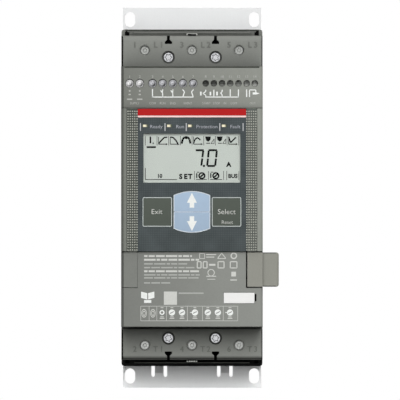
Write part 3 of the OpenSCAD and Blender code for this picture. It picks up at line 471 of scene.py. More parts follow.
@dataclass(frozen=True)
class Metal(Finish):
    """Bare or plated metal with drawn lines and cloudy patches, and painted light and shade.

    Attributes:
        streak_scale: Scale of the drawn lines.
        streaks: Their strength in tone and relief.
        streak_depth: Depth of their relief.
        metallic: Share of bare metal.
        edge: Radius of the rounded edges.
        right: Colour towards the right, painted light.
        right_x: Where it begins and is reached, across.
        shaded: Near side, far side and foot of two shaded strips below the middle.
        shaded_soft: How softly they begin.
        shaded_share: How dark they get.
        crease: How dark the painted shade in creases gets at the bottom.
        crease_top: Share of that darkness at the top.
        reach: How far away a face still darkens a place.
        lee: How dark the painted shade on the side turned away from the light gets.
        lee_way: The way that the shaded side looks.
    """

    streak_scale: float = 1500.0
    streaks: float = 0.12
    streak_depth: float = 0.00005
    metallic: float = 1.0
    edge: float = FINE_RADIUS
    right: Colour | None = None
    right_x: Span = (0.012, HALF_WIDTH)
    shaded: tuple[float, float, float] | None = None
    shaded_soft: float = 0.0004
    shaded_share: float = 0.4
    crease: float = 0.0
    crease_top: float = 0.6
    reach: float = 0.02
    lee: float = 0.0
    lee_way: Place = (0.75, 0.0, -0.66)

    def shade(self, tree: Tree, shader: bpy.types.Node) -> None:
        """Streaked colour and roughness over rounded edges, with painted light and shade.

        Args:
            tree: The material's node tree.
            shader: Its Principled BSDF.
        """
        marks = tree.effect("drawn_streaks", Scale=self.streak_scale)
        blend = tree.blend(marks["Lines"], marks["Cloud"], 0.5)
        bump = tree.bump(marks["Lines"], self.streaks, self.streak_depth, self.edge)
        tone = tree.vary(blend, self.colour, self.streaks)
        axes = tree.axes()
        # Painted light: lighter towards the right.
        if self.right:
            tone = tree.mix(tree.remap(axes["X"], self.right_x), tone, linear(self.right))
        # Painted shade on the two strips.
        if self.shaded:
            tone = tree.darken(self._strips(tree, axes), tone)
        # Painted shade on the side turned away from the light.
        if self.lee:
            facing = tree.dot(tree.normal(), self.lee_way)
            tone = tree.darken(tree.remap(facing, (0.05, 0.6), (0.0, self.lee)), tone)
        # Painted shade in creases, stronger at the bottom.
        if self.crease:
            hidden = tree.product(tree.crease(self.reach, self.crease),
                                  tree.remap(axes["Z"], (-0.05, 0.05), (1.0, self.crease_top)))
            tone = tree.darken(hidden, tone)
        tree.feed(shader, {
            "Base Color": tone, "Metallic": self.metallic, "Normal": bump,
            "Roughness": self.uneven_gloss(tree, marks["Cloud"], NOISE_SPAN, 0.06),
        })

    def _strips(self, tree: Tree, axes: bpy.types.NodeOutputs) -> Socket:
        """Mask of the two shaded strips.

        Args:
            tree: The material's node tree.
            axes: The object coordinates.

        Returns:
            The mask.
        """
        near, far, foot = self.shaded
        soft = self.shaded_soft
        side = tree.math("ABSOLUTE", axes["X"])
        across = tree.product(tree.remap(side, (near, near + soft)),
                              tree.remap(side, (far - soft, far), (1.0, 0.0)))
        along = tree.product(tree.remap(axes["Z"], (foot, foot + 2 * soft), (0.0, self.shaded_share)),
                             tree.math("LESS_THAN", axes["Z"], 0.0))
        return tree.product(across, along)


@dataclass(frozen=True)
class Board(Finish):
    """Circuit board: solder mask with copper tracks showing through."""

    track: Colour = (58, 124, 70)
    cell_scale: float = 260.0
    track_span: Span = (0.42, 0.5)
    uneven: float = 0.15

    def shade(self, tree: Tree, shader: bpy.types.Node) -> None:
        """Tracks along the borders of square cells, over a cloudy mask.

        Args:
            tree: The material's node tree.
            shader: Its Principled BSDF.
        """
        cells = tree.add("TexVoronoi", {"Vector": tree.place(), "Scale": self.cell_scale},
                         distance="CHEBYCHEV", feature="F1").outputs["Distance"]
        tracks = tree.remap(cells, self.track_span)
        mask = tree.vary(tree.noise(tree.place(), 200.0), self.colour, self.uneven)
        tree.feed(shader, {"Base Color": tree.mix(tracks, mask, linear(self.track)),
                           "Roughness": self.roughness})


@dataclass(frozen=True)
class Foil(Finish):
    """Printed foil with a fine grid, lighter or darker towards its top.

    Attributes:
        pitch: Pitch of the grid.
        line: Width of its lines.
        contrast: How far the grid and the cloud go towards the dark tone.
        dark: Factor that makes the dark tone.
        foot: Colour at the foot, where it differs.
        span: Heights of the foot and the top.
    """

    pitch: float = 0.0007
    line: float = 0.00012
    contrast: float = 0.1
    dark: float = 0.5
    foot: Colour | None = None
    span: Span = (0.0, 1.0)

    def shade(self, tree: Tree, shader: bpy.types.Node) -> None:
        """Colour over the height, with the grid and a faint cloud.

        Args:
            tree: The material's node tree.
            shader: Its Principled BSDF.
        """
        foot = self.foot or self.colour
        grid = tree.effect("fine_grid", Pitch=self.pitch, Line=self.line)["Mask"]
        rise = tree.remap(tree.axes()["Z"], self.span)
        tone = tree.mix(rise, linear(foot), linear(self.colour))
        cloud = tree.remap(tree.noise(tree.place(), 90.0, 3.0), NOISE_SPAN, (0.0, self.contrast))
        shade = tree.math("MULTIPLY_ADD", grid, self.contrast, cloud)
        dark = tree.mix(rise, linear(foot, self.dark), linear(self.colour, self.dark))
        tree.feed(shader, {
            "Base Color": tree.mix(shade, tone, dark), "Specular IOR Level": PRINT_SHEEN,
            "Roughness": self.uneven_gloss(tree, cloud, (0, 1), 0.04),
        })


@dataclass(frozen=True)
class KeyFoil(Finish):
    """Embossed key: its raised rim is printed in another colour.

    Attributes:
        rim: Colour of the rim.
        rim_front: Depth in front of which a place belongs to the rim.
        lift: How far the face gets lighter to the top.
        span: Heights between which it does.
        cloud: Share of a faint cloud.
        cloud_gain: Factor that makes the cloud's tone.
    """

    rim: Colour = (180, 185, 180)
    rim_front: float = 0.0
    lift: float = 0.08
    span: Span = (-0.022, 0.004)
    cloud: float = 0.12
    cloud_gain: float = 0.8

    def shade(self, tree: Tree, shader: bpy.types.Node) -> None:
        """Face and rim colours, told apart by their depth, lighter to the top.

        Args:
            tree: The material's node tree.
            shader: Its Principled BSDF.
        """
        axes = tree.axes()
        on_rim = tree.math("LESS_THAN", axes["Y"], self.rim_front)
        rise = tree.remap(axes["Z"], self.span)
        cloud = tree.noise(tree.place(), 260.0, 3.0)
        tone = tree.vary(rise, self.colour, self.lift)
        face = tree.mix(tree.remap(cloud, NOISE_SPAN, (0.0, self.cloud)), tone,
                        linear(self.colour, self.cloud_gain))
        rounded = tree.rounded(FINE_RADIUS)
        tree.feed(shader, {"Base Color": tree.mix(on_rim, face, linear(self.rim)), "Normal": rounded,
                           "Roughness": self.roughness, "Specular IOR Level": PRINT_SHEEN})


@dataclass(frozen=True)
class Ink(Finish):
    """Printed ink, slightly uneven."""

    uneven: float = 0.08

    def shade(self, tree: Tree, shader: bpy.types.Node) -> None:
        """Colour with a fine, faint unevenness.

        Args:
            tree: The material's node tree.
            shader: Its Principled BSDF.
        """
        cloud = tree.noise(tree.place(), 700.0, 2.0)
        tree.feed(shader, {"Base Color": tree.vary(cloud, self.colour, self.uneven),
                           "Roughness": self.roughness, "Specular IOR Level": PRINT_SHEEN})


@dataclass(frozen=True)
class Window(Finish):
    """Clear display window, with faint smears in its gloss."""

    alpha: float = 0.03
    smear_gain: float = 0.9
    smear_gloss: float = 0.08

    def shade(self, tree: Tree, shader: bpy.types.Node) -> None:
        """A thin clear film whose gloss varies a little.

        Args:
            tree: The material's node tree.
            shader: Its Principled BSDF.
        """
        smear = tree.noise(tree.place((1.0, 1.0, 0.4)), 150.0, 4.0)
        tone = tree.mix(smear, linear(self.colour, self.smear_gain), linear(self.colour))
        gloss = tree.remap(smear, NOISE_SPAN, (self.roughness, self.roughness + self.smear_gloss))
        tree.feed(shader, {"Base Color": tone, "Alpha": self.alpha, "Roughness": gloss})


@dataclass(frozen=True)
class Lens(Finish):
    """Light pipes, each bright at its left end and dark at its right.

    Attributes:
        shade_colour: Colour of the dark end.
        centres: Where the pipes lie, across.
        reach: Half the width of a pipe.
        shade_span: Where the dark begins and is full, in shares of that half width.
    """

    shade_colour: Colour = (56, 66, 48)
    centres: tuple[float, ...] = ()
    reach: float = 0.0016
    shade_span: Span = (-0.1, 0.7)

    def shade(self, tree: Tree, shader: bpy.types.Node) -> None:
        """Colour by the place across the nearest pipe.

        Args:
            tree: The material's node tree.
            shader: Its Principled BSDF.
        """
        across = tree.axes()["X"]
        offset: Value = 0.0
        for centre in self.centres:
            beside = tree.math("SUBTRACT", across, centre)
            near = tree.math("LESS_THAN", tree.math("ABSOLUTE", beside), 2 * self.reach)
            offset = tree.math("MULTIPLY_ADD", beside, near, offset)
        cloud = tree.remap(tree.noise(tree.place(), 900.0), NOISE_SPAN, (-0.1, 0.1))
        begin, full = self.shade_span
        dark = tree.math("ADD", tree.remap(offset, (begin * self.reach, full * self.reach)), cloud)
        tree.feed(shader, {"Base Color": tree.mix(dark, linear(self.colour), linear(self.shade_colour)),
                           "Roughness": self.roughness})


# Plastics: the lee, sides and foot settings and the darkening in creases are painted light and shade.
GREY = Plastic("grey", (139, 142, 135), 0.6, lee=0.55, lee_strip=0.22, sides=(0.97, 1.12))
CONTROL_GREY = Plastic("control_grey", (130, 132, 126), 0.6, lee=0.55, sides=(0.88, 1.24), crease=0.4)
COVER_GREY = Plastic("cover_grey", (138, 140, 135), 0.6, crease=0.62)
# The load cover is painted darker near its lower edge: painted shade.
LOAD_GREY = Plastic("load_grey", (138, 140, 135), 0.6, crease=0.2, eased=0.2, sides=(1.0, 1.08),
                    foot=(28, 30, 27), foot_z=-0.1018, foot_soft=0.0012)
# The label cover is painted dark along its lower edge: painted shadow.
LABEL_GREY = Plastic("label_grey", (140, 142, 137), 0.55, grain=0.15, crease=0.15, lee=0.5,
                     sides=(0.79, 1.06), foot=(74, 76, 71), foot_z=-0.0819, foot_soft=0.0003)
STRIP_GREY = Plastic("strip_grey", (128, 130, 125), 0.6, crease=0.2, lee=0.55)
MARK_GREY = Plastic("mark_grey", (118, 120, 115), 0.6)
DARK_GREY = Plastic("dark_grey", (104, 106, 101), 0.6)
BLACK = Plastic("black", (24, 24, 25), 0.5, dust=0.12)
CAP_GREY = Plastic("cap_grey", (147, 147, 139), 0.6)
STUD_GREY = Plastic("stud_grey", (170, 172, 163), 0.6, edge=0.0001, crease=0.2)
# The right band takes a lighter copy of the band grey: painted light from the right.
BAND_GREY = Plastic("band_grey", (78, 82, 77), 0.6)
PALE_BAND = Plastic("pale_band", (96, 100, 95), 0.6)
# The load block's ledge is painted near black below its line: painted shadow.
LEDGE_GREY = Plastic("ledge_grey", (138, 140, 135), 0.6, foot=(10, 11, 10), foot_z=-0.1031)
# Flat dark line on the line ledge: painted shade.
LEDGE_SHADE_GREY = Plastic("ledge_shade_grey", (62, 64, 60), 0.7)
COLLAR_GREY = Plastic("collar_grey", (146, 148, 143), 0.5, crease=0.2)
# The plate is painted darker on two strips at its tongues and near the housing: painted shade.
PLATE = Metal("plate", (239, 240, 240), 0.45, streaks=0.03, metallic=0.12,
              shaded=(0.0186, 0.0242, -0.1134), crease=0.42)
BRIGHT = Metal("bright_zinc", (230, 231, 234), 0.28)
# The line set screws take a darker copy of this steel and the load set screws a lighter one: painted light
# and shade.
DULL = Metal("dull_steel", (188, 190, 186), 0.4, metallic=0.6, lee=0.5)
PALE_DULL = Metal("pale_dull_steel", (222, 224, 220), 0.4, metallic=0.6)
# Darker steels for the walls of screw recesses: painted shade.
DIM_STEEL = Metal("dim_steel", (128, 130, 127), 0.45, metallic=0.4)
DARK_STEEL = Metal("dark_steel", (62, 64, 62), 0.45, metallic=0.4)
# The mains heads take a lighter copy of the head steel: painted light; both are painted darker on the side
# turned away from the light.
HEAD_STEEL = Metal("head_steel", (208, 209, 213), 0.36, streaks=0.02, lee=0.8)
PALE_STEEL = Metal("pale_steel", (250, 250, 250), 0.36, streaks=0.02, lee=0.75)
# The signal screws are painted lighter towards the right: painted light.
SUNK_STEEL = Metal("sunk_steel", (104, 106, 102), 0.5, metallic=0.2, right=(196, 198, 192))
CLAMP = Metal("clamp", (196, 186, 146), 0.4)
ALUMINIUM = Metal("aluminium", (205, 207, 209), 0.4)
COPPER = Metal("copper", (214, 160, 124), 0.36)
BOARD = Board("board", (36, 94, 50), 0.45)
OVERLAY = Foil("overlay", (82, 89, 91), 0.5, pitch=0.00114, line=0.00026, contrast=0.42, foot=(83, 90, 91),
               span=(-0.034, 0.045))
RED = Foil("red", (179, 35, 36), 0.5, contrast=0.06)
LCD = Foil("lcd", (206, 213, 206), 0.4, pitch=0.0004, line=0.00006, contrast=0.05)
TAG = Foil("tag", (240, 240, 238), 0.6, contrast=0.03)
WINDOW = Window("window", (70, 73, 71), 0.12)
WHITE_INK = Ink("white_ink", (236, 238, 235), 0.6)
PALE_INK = Ink("pale_ink", (190, 191, 193), 0.6)
WORD_INK = Ink("word_ink", (168, 170, 176), 0.6)
FAINT_INK = Ink("faint_ink", (182, 183, 178), 0.6)
SOFT_INK = Ink("soft_ink", (176, 178, 173), 0.6)
EDGE_INK = Ink("edge_ink", (198, 210, 224), 0.6)
LABEL_INK = Ink("label_ink", (206, 207, 202), 0.6)
PINK_INK = Ink("pink_ink", (254, 214, 210), 0.6)
LCD_INK = Ink("lcd_ink", (8, 10, 9), 0.6)
# Flat near black put where holes, slots and gaps show only shade: painted shadow.
HOLE_SHADOW = Ink("hole_shadow", (8, 8, 8), 0.9)
SLOT_INK = Ink("slot_ink", (112, 114, 110), 0.6)
# Dark lines along edges and seams: painted shade.
SEAM_SHADOW = Ink("seam_shadow", (70, 72, 67), 0.7)


def dress(finish: Finish, *names: str) -> None:
    """Gives a finish to CAD nodes.

    Args:
        finish: The finish whose material they take.
        names: The nodes' names.
    """
    for name in names:
        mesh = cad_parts[name].data
        mesh.materials.clear()
        mesh.materials.append(finish.material())


def smooth(bm: BMesh, angle: float = 0.6) -> None:
    """Shades round forms smooth and keeps edges over the angle sharp.

    Args:
        bm: The bmesh.
        angle: The angle between two faces, in radians.
    """
    for face in bm.faces:
        face.smooth = True
    for edge in bm.edges:
        edge.smooth = len(edge.link_faces) == 2 and edge.calc_face_angle(math.pi) < angle


def merge(part: BMesh, whole: BMesh) -> None:
    """Adds one bmesh to another and frees it.

    Args:
        part: The bmesh that is added and freed.
        whole: The bmesh that takes it.
    """
    made = bpy.data.meshes.new("part")
    part.to_mesh(made)
    part.free()
    whole.from_mesh(made)
    bpy.data.meshes.remove(made)


def facing_front(x: float, depth: float, z: float, turn: float = 0.0) -> Matrix:
    """Matrix that stands a form in millimetres at a place, its Z to the front.

    Args:
        x: Across, in millimetres.
        depth: Out from the wall, in millimetres.
        z: Up, in millimetres.
        turn: Angle about the form's own Z.

    Returns:
        The matrix.
    """
    spot = Matrix.Translation(Vector((x, -depth, z)) * MM) @ Matrix.Rotation(math.pi / 2, 4, "X")
    return spot @ Matrix.Rotation(turn, 4, "Z") @ Matrix.Scale(MM, 4)


def about(x: float, half: float, z0: float, z1: float) -> Box:
    """Box of a rectangle by its middle and half its width across."""
    return x - half, x + half, z0, z1


def beside(x: float, points: tuple[Point, ...]) -> list[Point]:
    """Points moved across."""
    return [(x + dx, z) for dx, z in points]


def settle(bm: BMesh, name: str, finish: Finish, body: Body | str = Body.HOUSING,
           stands_for: tuple[str, ...] = (), accent: Finish | None = None) -> None:
    """Turns a bmesh into a piece that rides on a body.

    Args:
        bm: The piece's shape in metres, in the part's frame. It is freed here.
        name: The piece's name.
        finish: The finish of its faces.
        body: The body that it moves with.
        stands_for: CAD nodes that it replaces.
        accent: The finish of faces with material index 1.
    """
    bmesh.ops.recalc_face_normals(bm, faces=bm.faces)
    mesh = bpy.data.meshes.new(name)
    bm.to_mesh(mesh)
    bm.free()
    for used in (finish, accent) if accent else (finish,):
        mesh.materials.append(used.material())
    piece = bpy.data.objects.new(name, mesh)
    bpy.context.scene.collection.objects.link(piece)
    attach(piece, body.value if isinstance(body, Body) else body)
    if stands_for:
        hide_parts(*stands_for)
    LOG.info("%s: %d faces", name, len(mesh.polygons))


class Sketch:
    """Flat shapes on a front face, in millimetres across (x) and up (z)."""

    def __init__(self, depth: float, proud: float = PROUD) -> None:
        """Starts an empty drawing.

        Args:
            depth: Depth of the face in millimetres from the wall.
            proud: How far the shapes stand out of it.
        """
        self.bm = bmesh.new()
        self.thick = proud + SUNK
        self.middle = depth + (proud - SUNK) / 2

    def seat(self, x: float, z: float, turn: float = 0.0) -> Matrix:
        """Matrix that stands a drawing in millimetres at a point of the face."""
        return facing_front(x, self.middle, z, turn)

    def block(self, seat: Matrix, wide: float, tall: float) -> None:
        """Adds a flat block of a size at a seat."""
        bmesh.ops.create_cube(self.bm, size=1.0, matrix=seat @ Matrix.Diagonal((wide, tall, self.thick, 1)))

    def bar(self, x0: float, x1: float, z0: float, z1: float) -> None:
        """Adds an upright rectangle."""
        self.block(self.seat((x0 + x1) / 2, (z0 + z1) / 2), abs(x1 - x0), abs(z1 - z0))

    def stroke(self, start: Point, end: Point, width: float) -> None:
        """Adds a straight line from point to point.

        Args:
            start: One end.
            end: The other end.
            width: Width of the line.
        """
        dx, dz = end[0] - start[0], end[1] - start[1]
        seat = self.seat((start[0] + end[0]) / 2, (start[1] + end[1]) / 2, math.atan2(dz, dx))
        self.block(seat, math.hypot(dx, dz), width)

    def path(self, points: list[Point], width: float) -> None:
        """Adds lines from point to point."""
        for start, end in zip(points, points[1:]):
            self.stroke(start, end, width)

    def frame(self, x0: float, x1: float, z0: float, z1: float, width: float) -> None:
        """Adds the outline of a rectangle.

        Args:
            x0: Left side.
            x1: Right side.
            z0: Lower side.
            z1: Upper side.
            width: Width of the line.
        """
        for z in (z0, z1):
            self.bar(x0, x1, z - width / 2, z + width / 2)
        for x in (x0, x1):
            self.bar(*about(x, width / 2, z0, z1))

    def disc(self, x: float, z: float, radius: float) -> None:
        """Adds a filled circle."""
        bmesh.ops.create_cone(self.bm, cap_ends=True, segments=DISC_SEGMENTS, radius1=radius, radius2=radius,
                              depth=self.thick, matrix=self.seat(x, z))

    def ring(self, x: float, z: float, outer: float, inner: float, stretch: float = 1.0) -> None:
        """Adds a circle's outline, or an upright oval one.

        Args:
            x: Middle, across.
            z: Middle, up.
            outer: Outer radius.
            inner: Inner radius.
            stretch: Height as a share of the width.
        """
        front = self.seat(x, z) @ Matrix.Translation((0, 0, self.thick / 2))
        edges = []
        for radius in (outer, inner):
            made = bmesh.ops.create_circle(self.bm, segments=RING_SEGMENTS, radius=radius,
                                           matrix=front @ Matrix.Diagonal((1, stretch, 1, 1)))
            edges += {edge for vert in made["verts"] for edge in vert.link_edges}
        self.thicken(bmesh.ops.bridge_loops(self.bm, edges=edges)["faces"])

    def shape(self, points: list[Point] | tuple[Point, ...]) -> None:
        """Adds a filled outline of a few points.

        Args:
            points: The corners in order.
        """
        front = self.middle + self.thick / 2
        corners = [self.bm.verts.new(Vector((x, -front, z)) * MM) for x, z in points]
        self.thicken([self.bm.faces.new(corners)])

    def thicken(self, faces: list[bmesh.types.BMFace]) -> None:
        """Gives front faces the drawing's thickness.

        Args:
            faces: The faces at the front of the drawing.
        """
        made = bmesh.ops.extrude_face_region(self.bm, geom=faces)["geom"]
        moved = [item for item in made if isinstance(item, BMVert)]
        bmesh.ops.translate(self.bm, verts=moved, vec=(0, self.thick * MM, 0))

    def text(self, words: str, x: float, z: float, height: float, weight: float = 0.0,
             stretch: float = 1.0) -> None:
        """Adds a line of lettering.

        Args:
            words: The letters.
            x: The middle of the line.
            z: The middle of its capitals.
            height: The capitals' height.
            weight: How much the strokes are fattened.
            stretch: Width as a share of the font's own.
        """
        curve = bpy.data.curves.new("lettering", "FONT")
        curve.body = words
        curve.size = height / CAP_SHARE
        curve.align_x = "CENTER"
        curve.extrude = self.thick / 2
        curve.offset = weight
        curve.resolution_u = 3
        holder = bpy.data.objects.new("lettering", curve)
        mesh = bpy.data.meshes.new_from_object(holder)
        mesh.transform(self.seat(x, z - height / 2) @ Matrix.Diagonal((stretch, 1, 1, 1)))
        self.bm.from_mesh(mesh)
        bpy.data.meshes.remove(mesh)
        bpy.data.objects.remove(holder)
        bpy.data.curves.remove(curve)

    def settle(self, name: str, finish: Finish, body: Body = Body.HOUSING, slot: Slot = Slot.GREY) -> None:
        """Turns the drawing into a piece."""
        settle(self.bm, name, finish, body)


def bars(name: str, finish: Finish, depth: float, *boxes: Box, proud: float = PROUD,
         body: Body = Body.HOUSING, slot: Slot = Slot.GREY) -> None:
    """Adds a piece of upright rectangles.

    Args:
        name: The piece's name.
        finish: Its finish.
        depth: Depth of the face that they lie on.
        boxes: The rectangles.
        proud: How far they stand out of the face.
        body: The body that the piece moves with.
        slot: The record's material slot; not used.
    """
    sketch = Sketch(depth, proud)
    for box in boxes:
        sketch.bar(*box)
    sketch.settle(name, finish, body, slot)


@dataclass(frozen=True)
class ScrewForm:
    """A turned screw, its head's face at the front, sizes in millimetres.

    Attributes:
        head: Radius of the head.
        head_h: Its height.
        shank: Radius of the shank.
        length: Length from the head's face to the tip.
        drive: The recess in the head.
        recess: Mean radius of a lobed recess, or half the width of a slot.
        recess_deep: Depth of the recess.
        chamfer: Chamfer of a flat head.
        pitch: Pitch of the thread, or 0 for a plain shank.
        dome: Height of a slotted head's dome.
        lobes: Number of lobes.
        lobe: How far they reach, as a share of the radius.
        root: Radius at the thread's root, as a share of the shank's.
        runout: Length of plain shank above the thread.
        shoulder: Drop of the step from the head to the shank.
        core: Radius under a slotted dome, as a share of the head's.
        segments: Sides of its circles.
    """

    head: float
    head_h: float
    shank: float
    length: float
    drive: Drive
    recess: float
    recess_deep: float
    chamfer: float = 0.4
    pitch: float = 0.0
    dome: float = 0.0
    lobes: int = 6
    lobe: float = 0.2
    root: float = 0.87
    runout: float = 0.3
    shoulder: float = 0.01
    core: float = 0.96
    segments: int = 48

    def build(self, bm: BMesh, x: float, z: float, face: float, turn: float = 0.0) -> None:
        """Adds the screw.

        Args:
            bm: The bmesh that takes it.
            x: Across, in millimetres.
            z: Up, in millimetres.
            face: Depth of the head's face.
            turn: Angle of the recess.
        """
        screw = bmesh.new()
        if self.drive is Drive.SLOT:
            self._slotted_dome(screw)
        else:
            self._lobed_head(screw)
        bmesh.ops.transform(screw, verts=screw.verts, matrix=facing_front(x, face, z, turn))
        bmesh.ops.recalc_face_normals(screw, faces=screw.faces)
        smooth(screw)
        merge(screw, bm)

    def _rim(self, bm: BMesh, radius: float, height: float) -> list[BMEdge]:
        """Adds a circle of edges at a height and returns them."""
        ring = bmesh.ops.create_circle(bm, segments=self.segments, radius=radius,
                                       matrix=Matrix.Translation((0, 0, height)))["verts"]
        return list({edge for vert in ring for edge in vert.link_edges})

    def _follow(self, bm: BMesh, edges: list[BMEdge], radius: float, steps: list[Point]) -> list[BMEdge]:
        """Draws a ring of edges out through radii and heights.

        Args:
            bm: The bmesh.
            edges: The ring to start from.
            radius: Its radius.
            steps: Radius and height of each further ring.

        Returns:
            The last ring's edges.
        """
        for wide, height in steps:
            made = bmesh.ops.extrude_edge_only(bm, edges=edges)["geom"]
            verts = [item for item in made if isinstance(item, BMVert)]
            edges = [item for item in made if isinstance(item, BMEdge)]
            bmesh.ops.scale(bm, verts=verts, vec=(wide / radius, wide / radius, 1.0))
            bmesh.ops.translate(bm, verts=verts, vec=(0, 0, height - verts[0].co.z))
            radius = wide
        return edges

    def _shank_steps(self) -> list[Point]:
        """Radius and height of the rings from the head's rim to the tip.

        Returns:
            The rings in order.
        """
        steps = [(self.head, -self.chamfer), (self.head, -self.head_h),
                 (self.shank, -self.head_h - self.shoulder)]
        height = -self.head_h - self.runout
        while self.pitch and height > -self.length + self.pitch:
            steps += [(self.shank, height), (self.shank * self.root, height - self.pitch / 2)]
            height -= self.pitch
        return steps + [(self.shank * (self.root if self.pitch else 1.0), -self.length)]

    def _lobed_head(self, bm: BMesh) -> None:
        """Flat head with a lobed recess, whose walls take the accent of painted shade, then the shank.

        Args:
            bm: The screw's own bmesh.
        """
        mouth = self._rim(bm, self.recess, 0.0)
        for vert in {vert for edge in mouth for vert in edge.verts}:
            wave = 1 + self.lobe * math.cos(self.lobes * math.atan2(vert.co.y, vert.co.x))
            vert.co.xy = vert.co.xy * wave
        outer = self._rim(bm, self.head - self.chamfer, 0.0)
        bmesh.ops.bridge_loops(bm, edges=mouth + outer)
        before = set(bm.faces)
        floor = self._follow(bm, mouth, 1.0, [(1 - self.lobe, -self.recess_deep)])
        for face in set(bm.faces) - before:
            face.material_index = 1
        tip = self._follow(bm, outer, self.head - self.chamfer, self._shank_steps())
        for ring in (floor, tip):
            for face in bmesh.ops.contextual_create(bm, geom=ring)["faces"]:
                face.material_index = 0

    def _slotted_dome(self, bm: BMesh) -> None:
        """Domed head in two halves with a slot between them, over a plain shank.

        Args:
            bm: The screw's own bmesh.
        """
        rise = [math.radians(angle) for angle in (18, 36, 54, 72)]
        dome = [(self.head * math.cos(a), -self.dome * (1 - math.sin(a))) for a in rise]
        for side in (1, -1):
            half = bmesh.new()
            foot = self._rim(half, self.head, -self.head_h)
            top = self._follow(half, foot, self.head, [(self.head, -self.dome), *dome])
            for ring in (foot, top):
                bmesh.ops.contextual_create(half, geom=ring)
            normal = Vector((-side, 0, 0))
            cut = bmesh.ops.bisect_plane(half, geom=half.verts[:] + half.edges[:] + half.faces[:],
                                         plane_co=-normal * self.recess, plane_no=normal, clear_outer=True)
            wall = [item for item in cut["geom_cut"] if isinstance(item, BMEdge)]
            bmesh.ops.contextual_create(half, geom=wall)
            merge(half, bm)
        core = self.head * self.core
        floor = self._rim(bm, core, -self.recess_deep)
        steps = [(core, -self.head_h), (self.shank, -self.head_h - self.shoulder), (self.shank, -self.length)]
        tip = self._follow(bm, floor, core, steps)
        for ring in (floor, tip):
            bmesh.ops.contextual_create(bm, geom=ring)


@dataclass
class MountingPlate:
    """Sheet-steel plate on the wall and its screws."""

    def build(self) -> None:
        """Dresses the plate and its screws."""
        dress(PLATE, "mounting_plate")
        dress(BRIGHT, "plate_screws")


@dataclass
class CoolingUnit:
    """Heat sink, its housing, and the fans at its foot."""

    def build(self) -> None:
        """Dresses the sink, the fans and the housing behind them."""
        dress(ALUMINIUM, "heat_sink")
        dress(DARK_GREY, "rear_housing")
        dress(BLACK, "fan_tray", "fan_guards", "fan_frame_left", "fan_frame_right", "fan_rotor_left",
              "fan_rotor_right")
        dress(BRIGHT, "fan_screws")


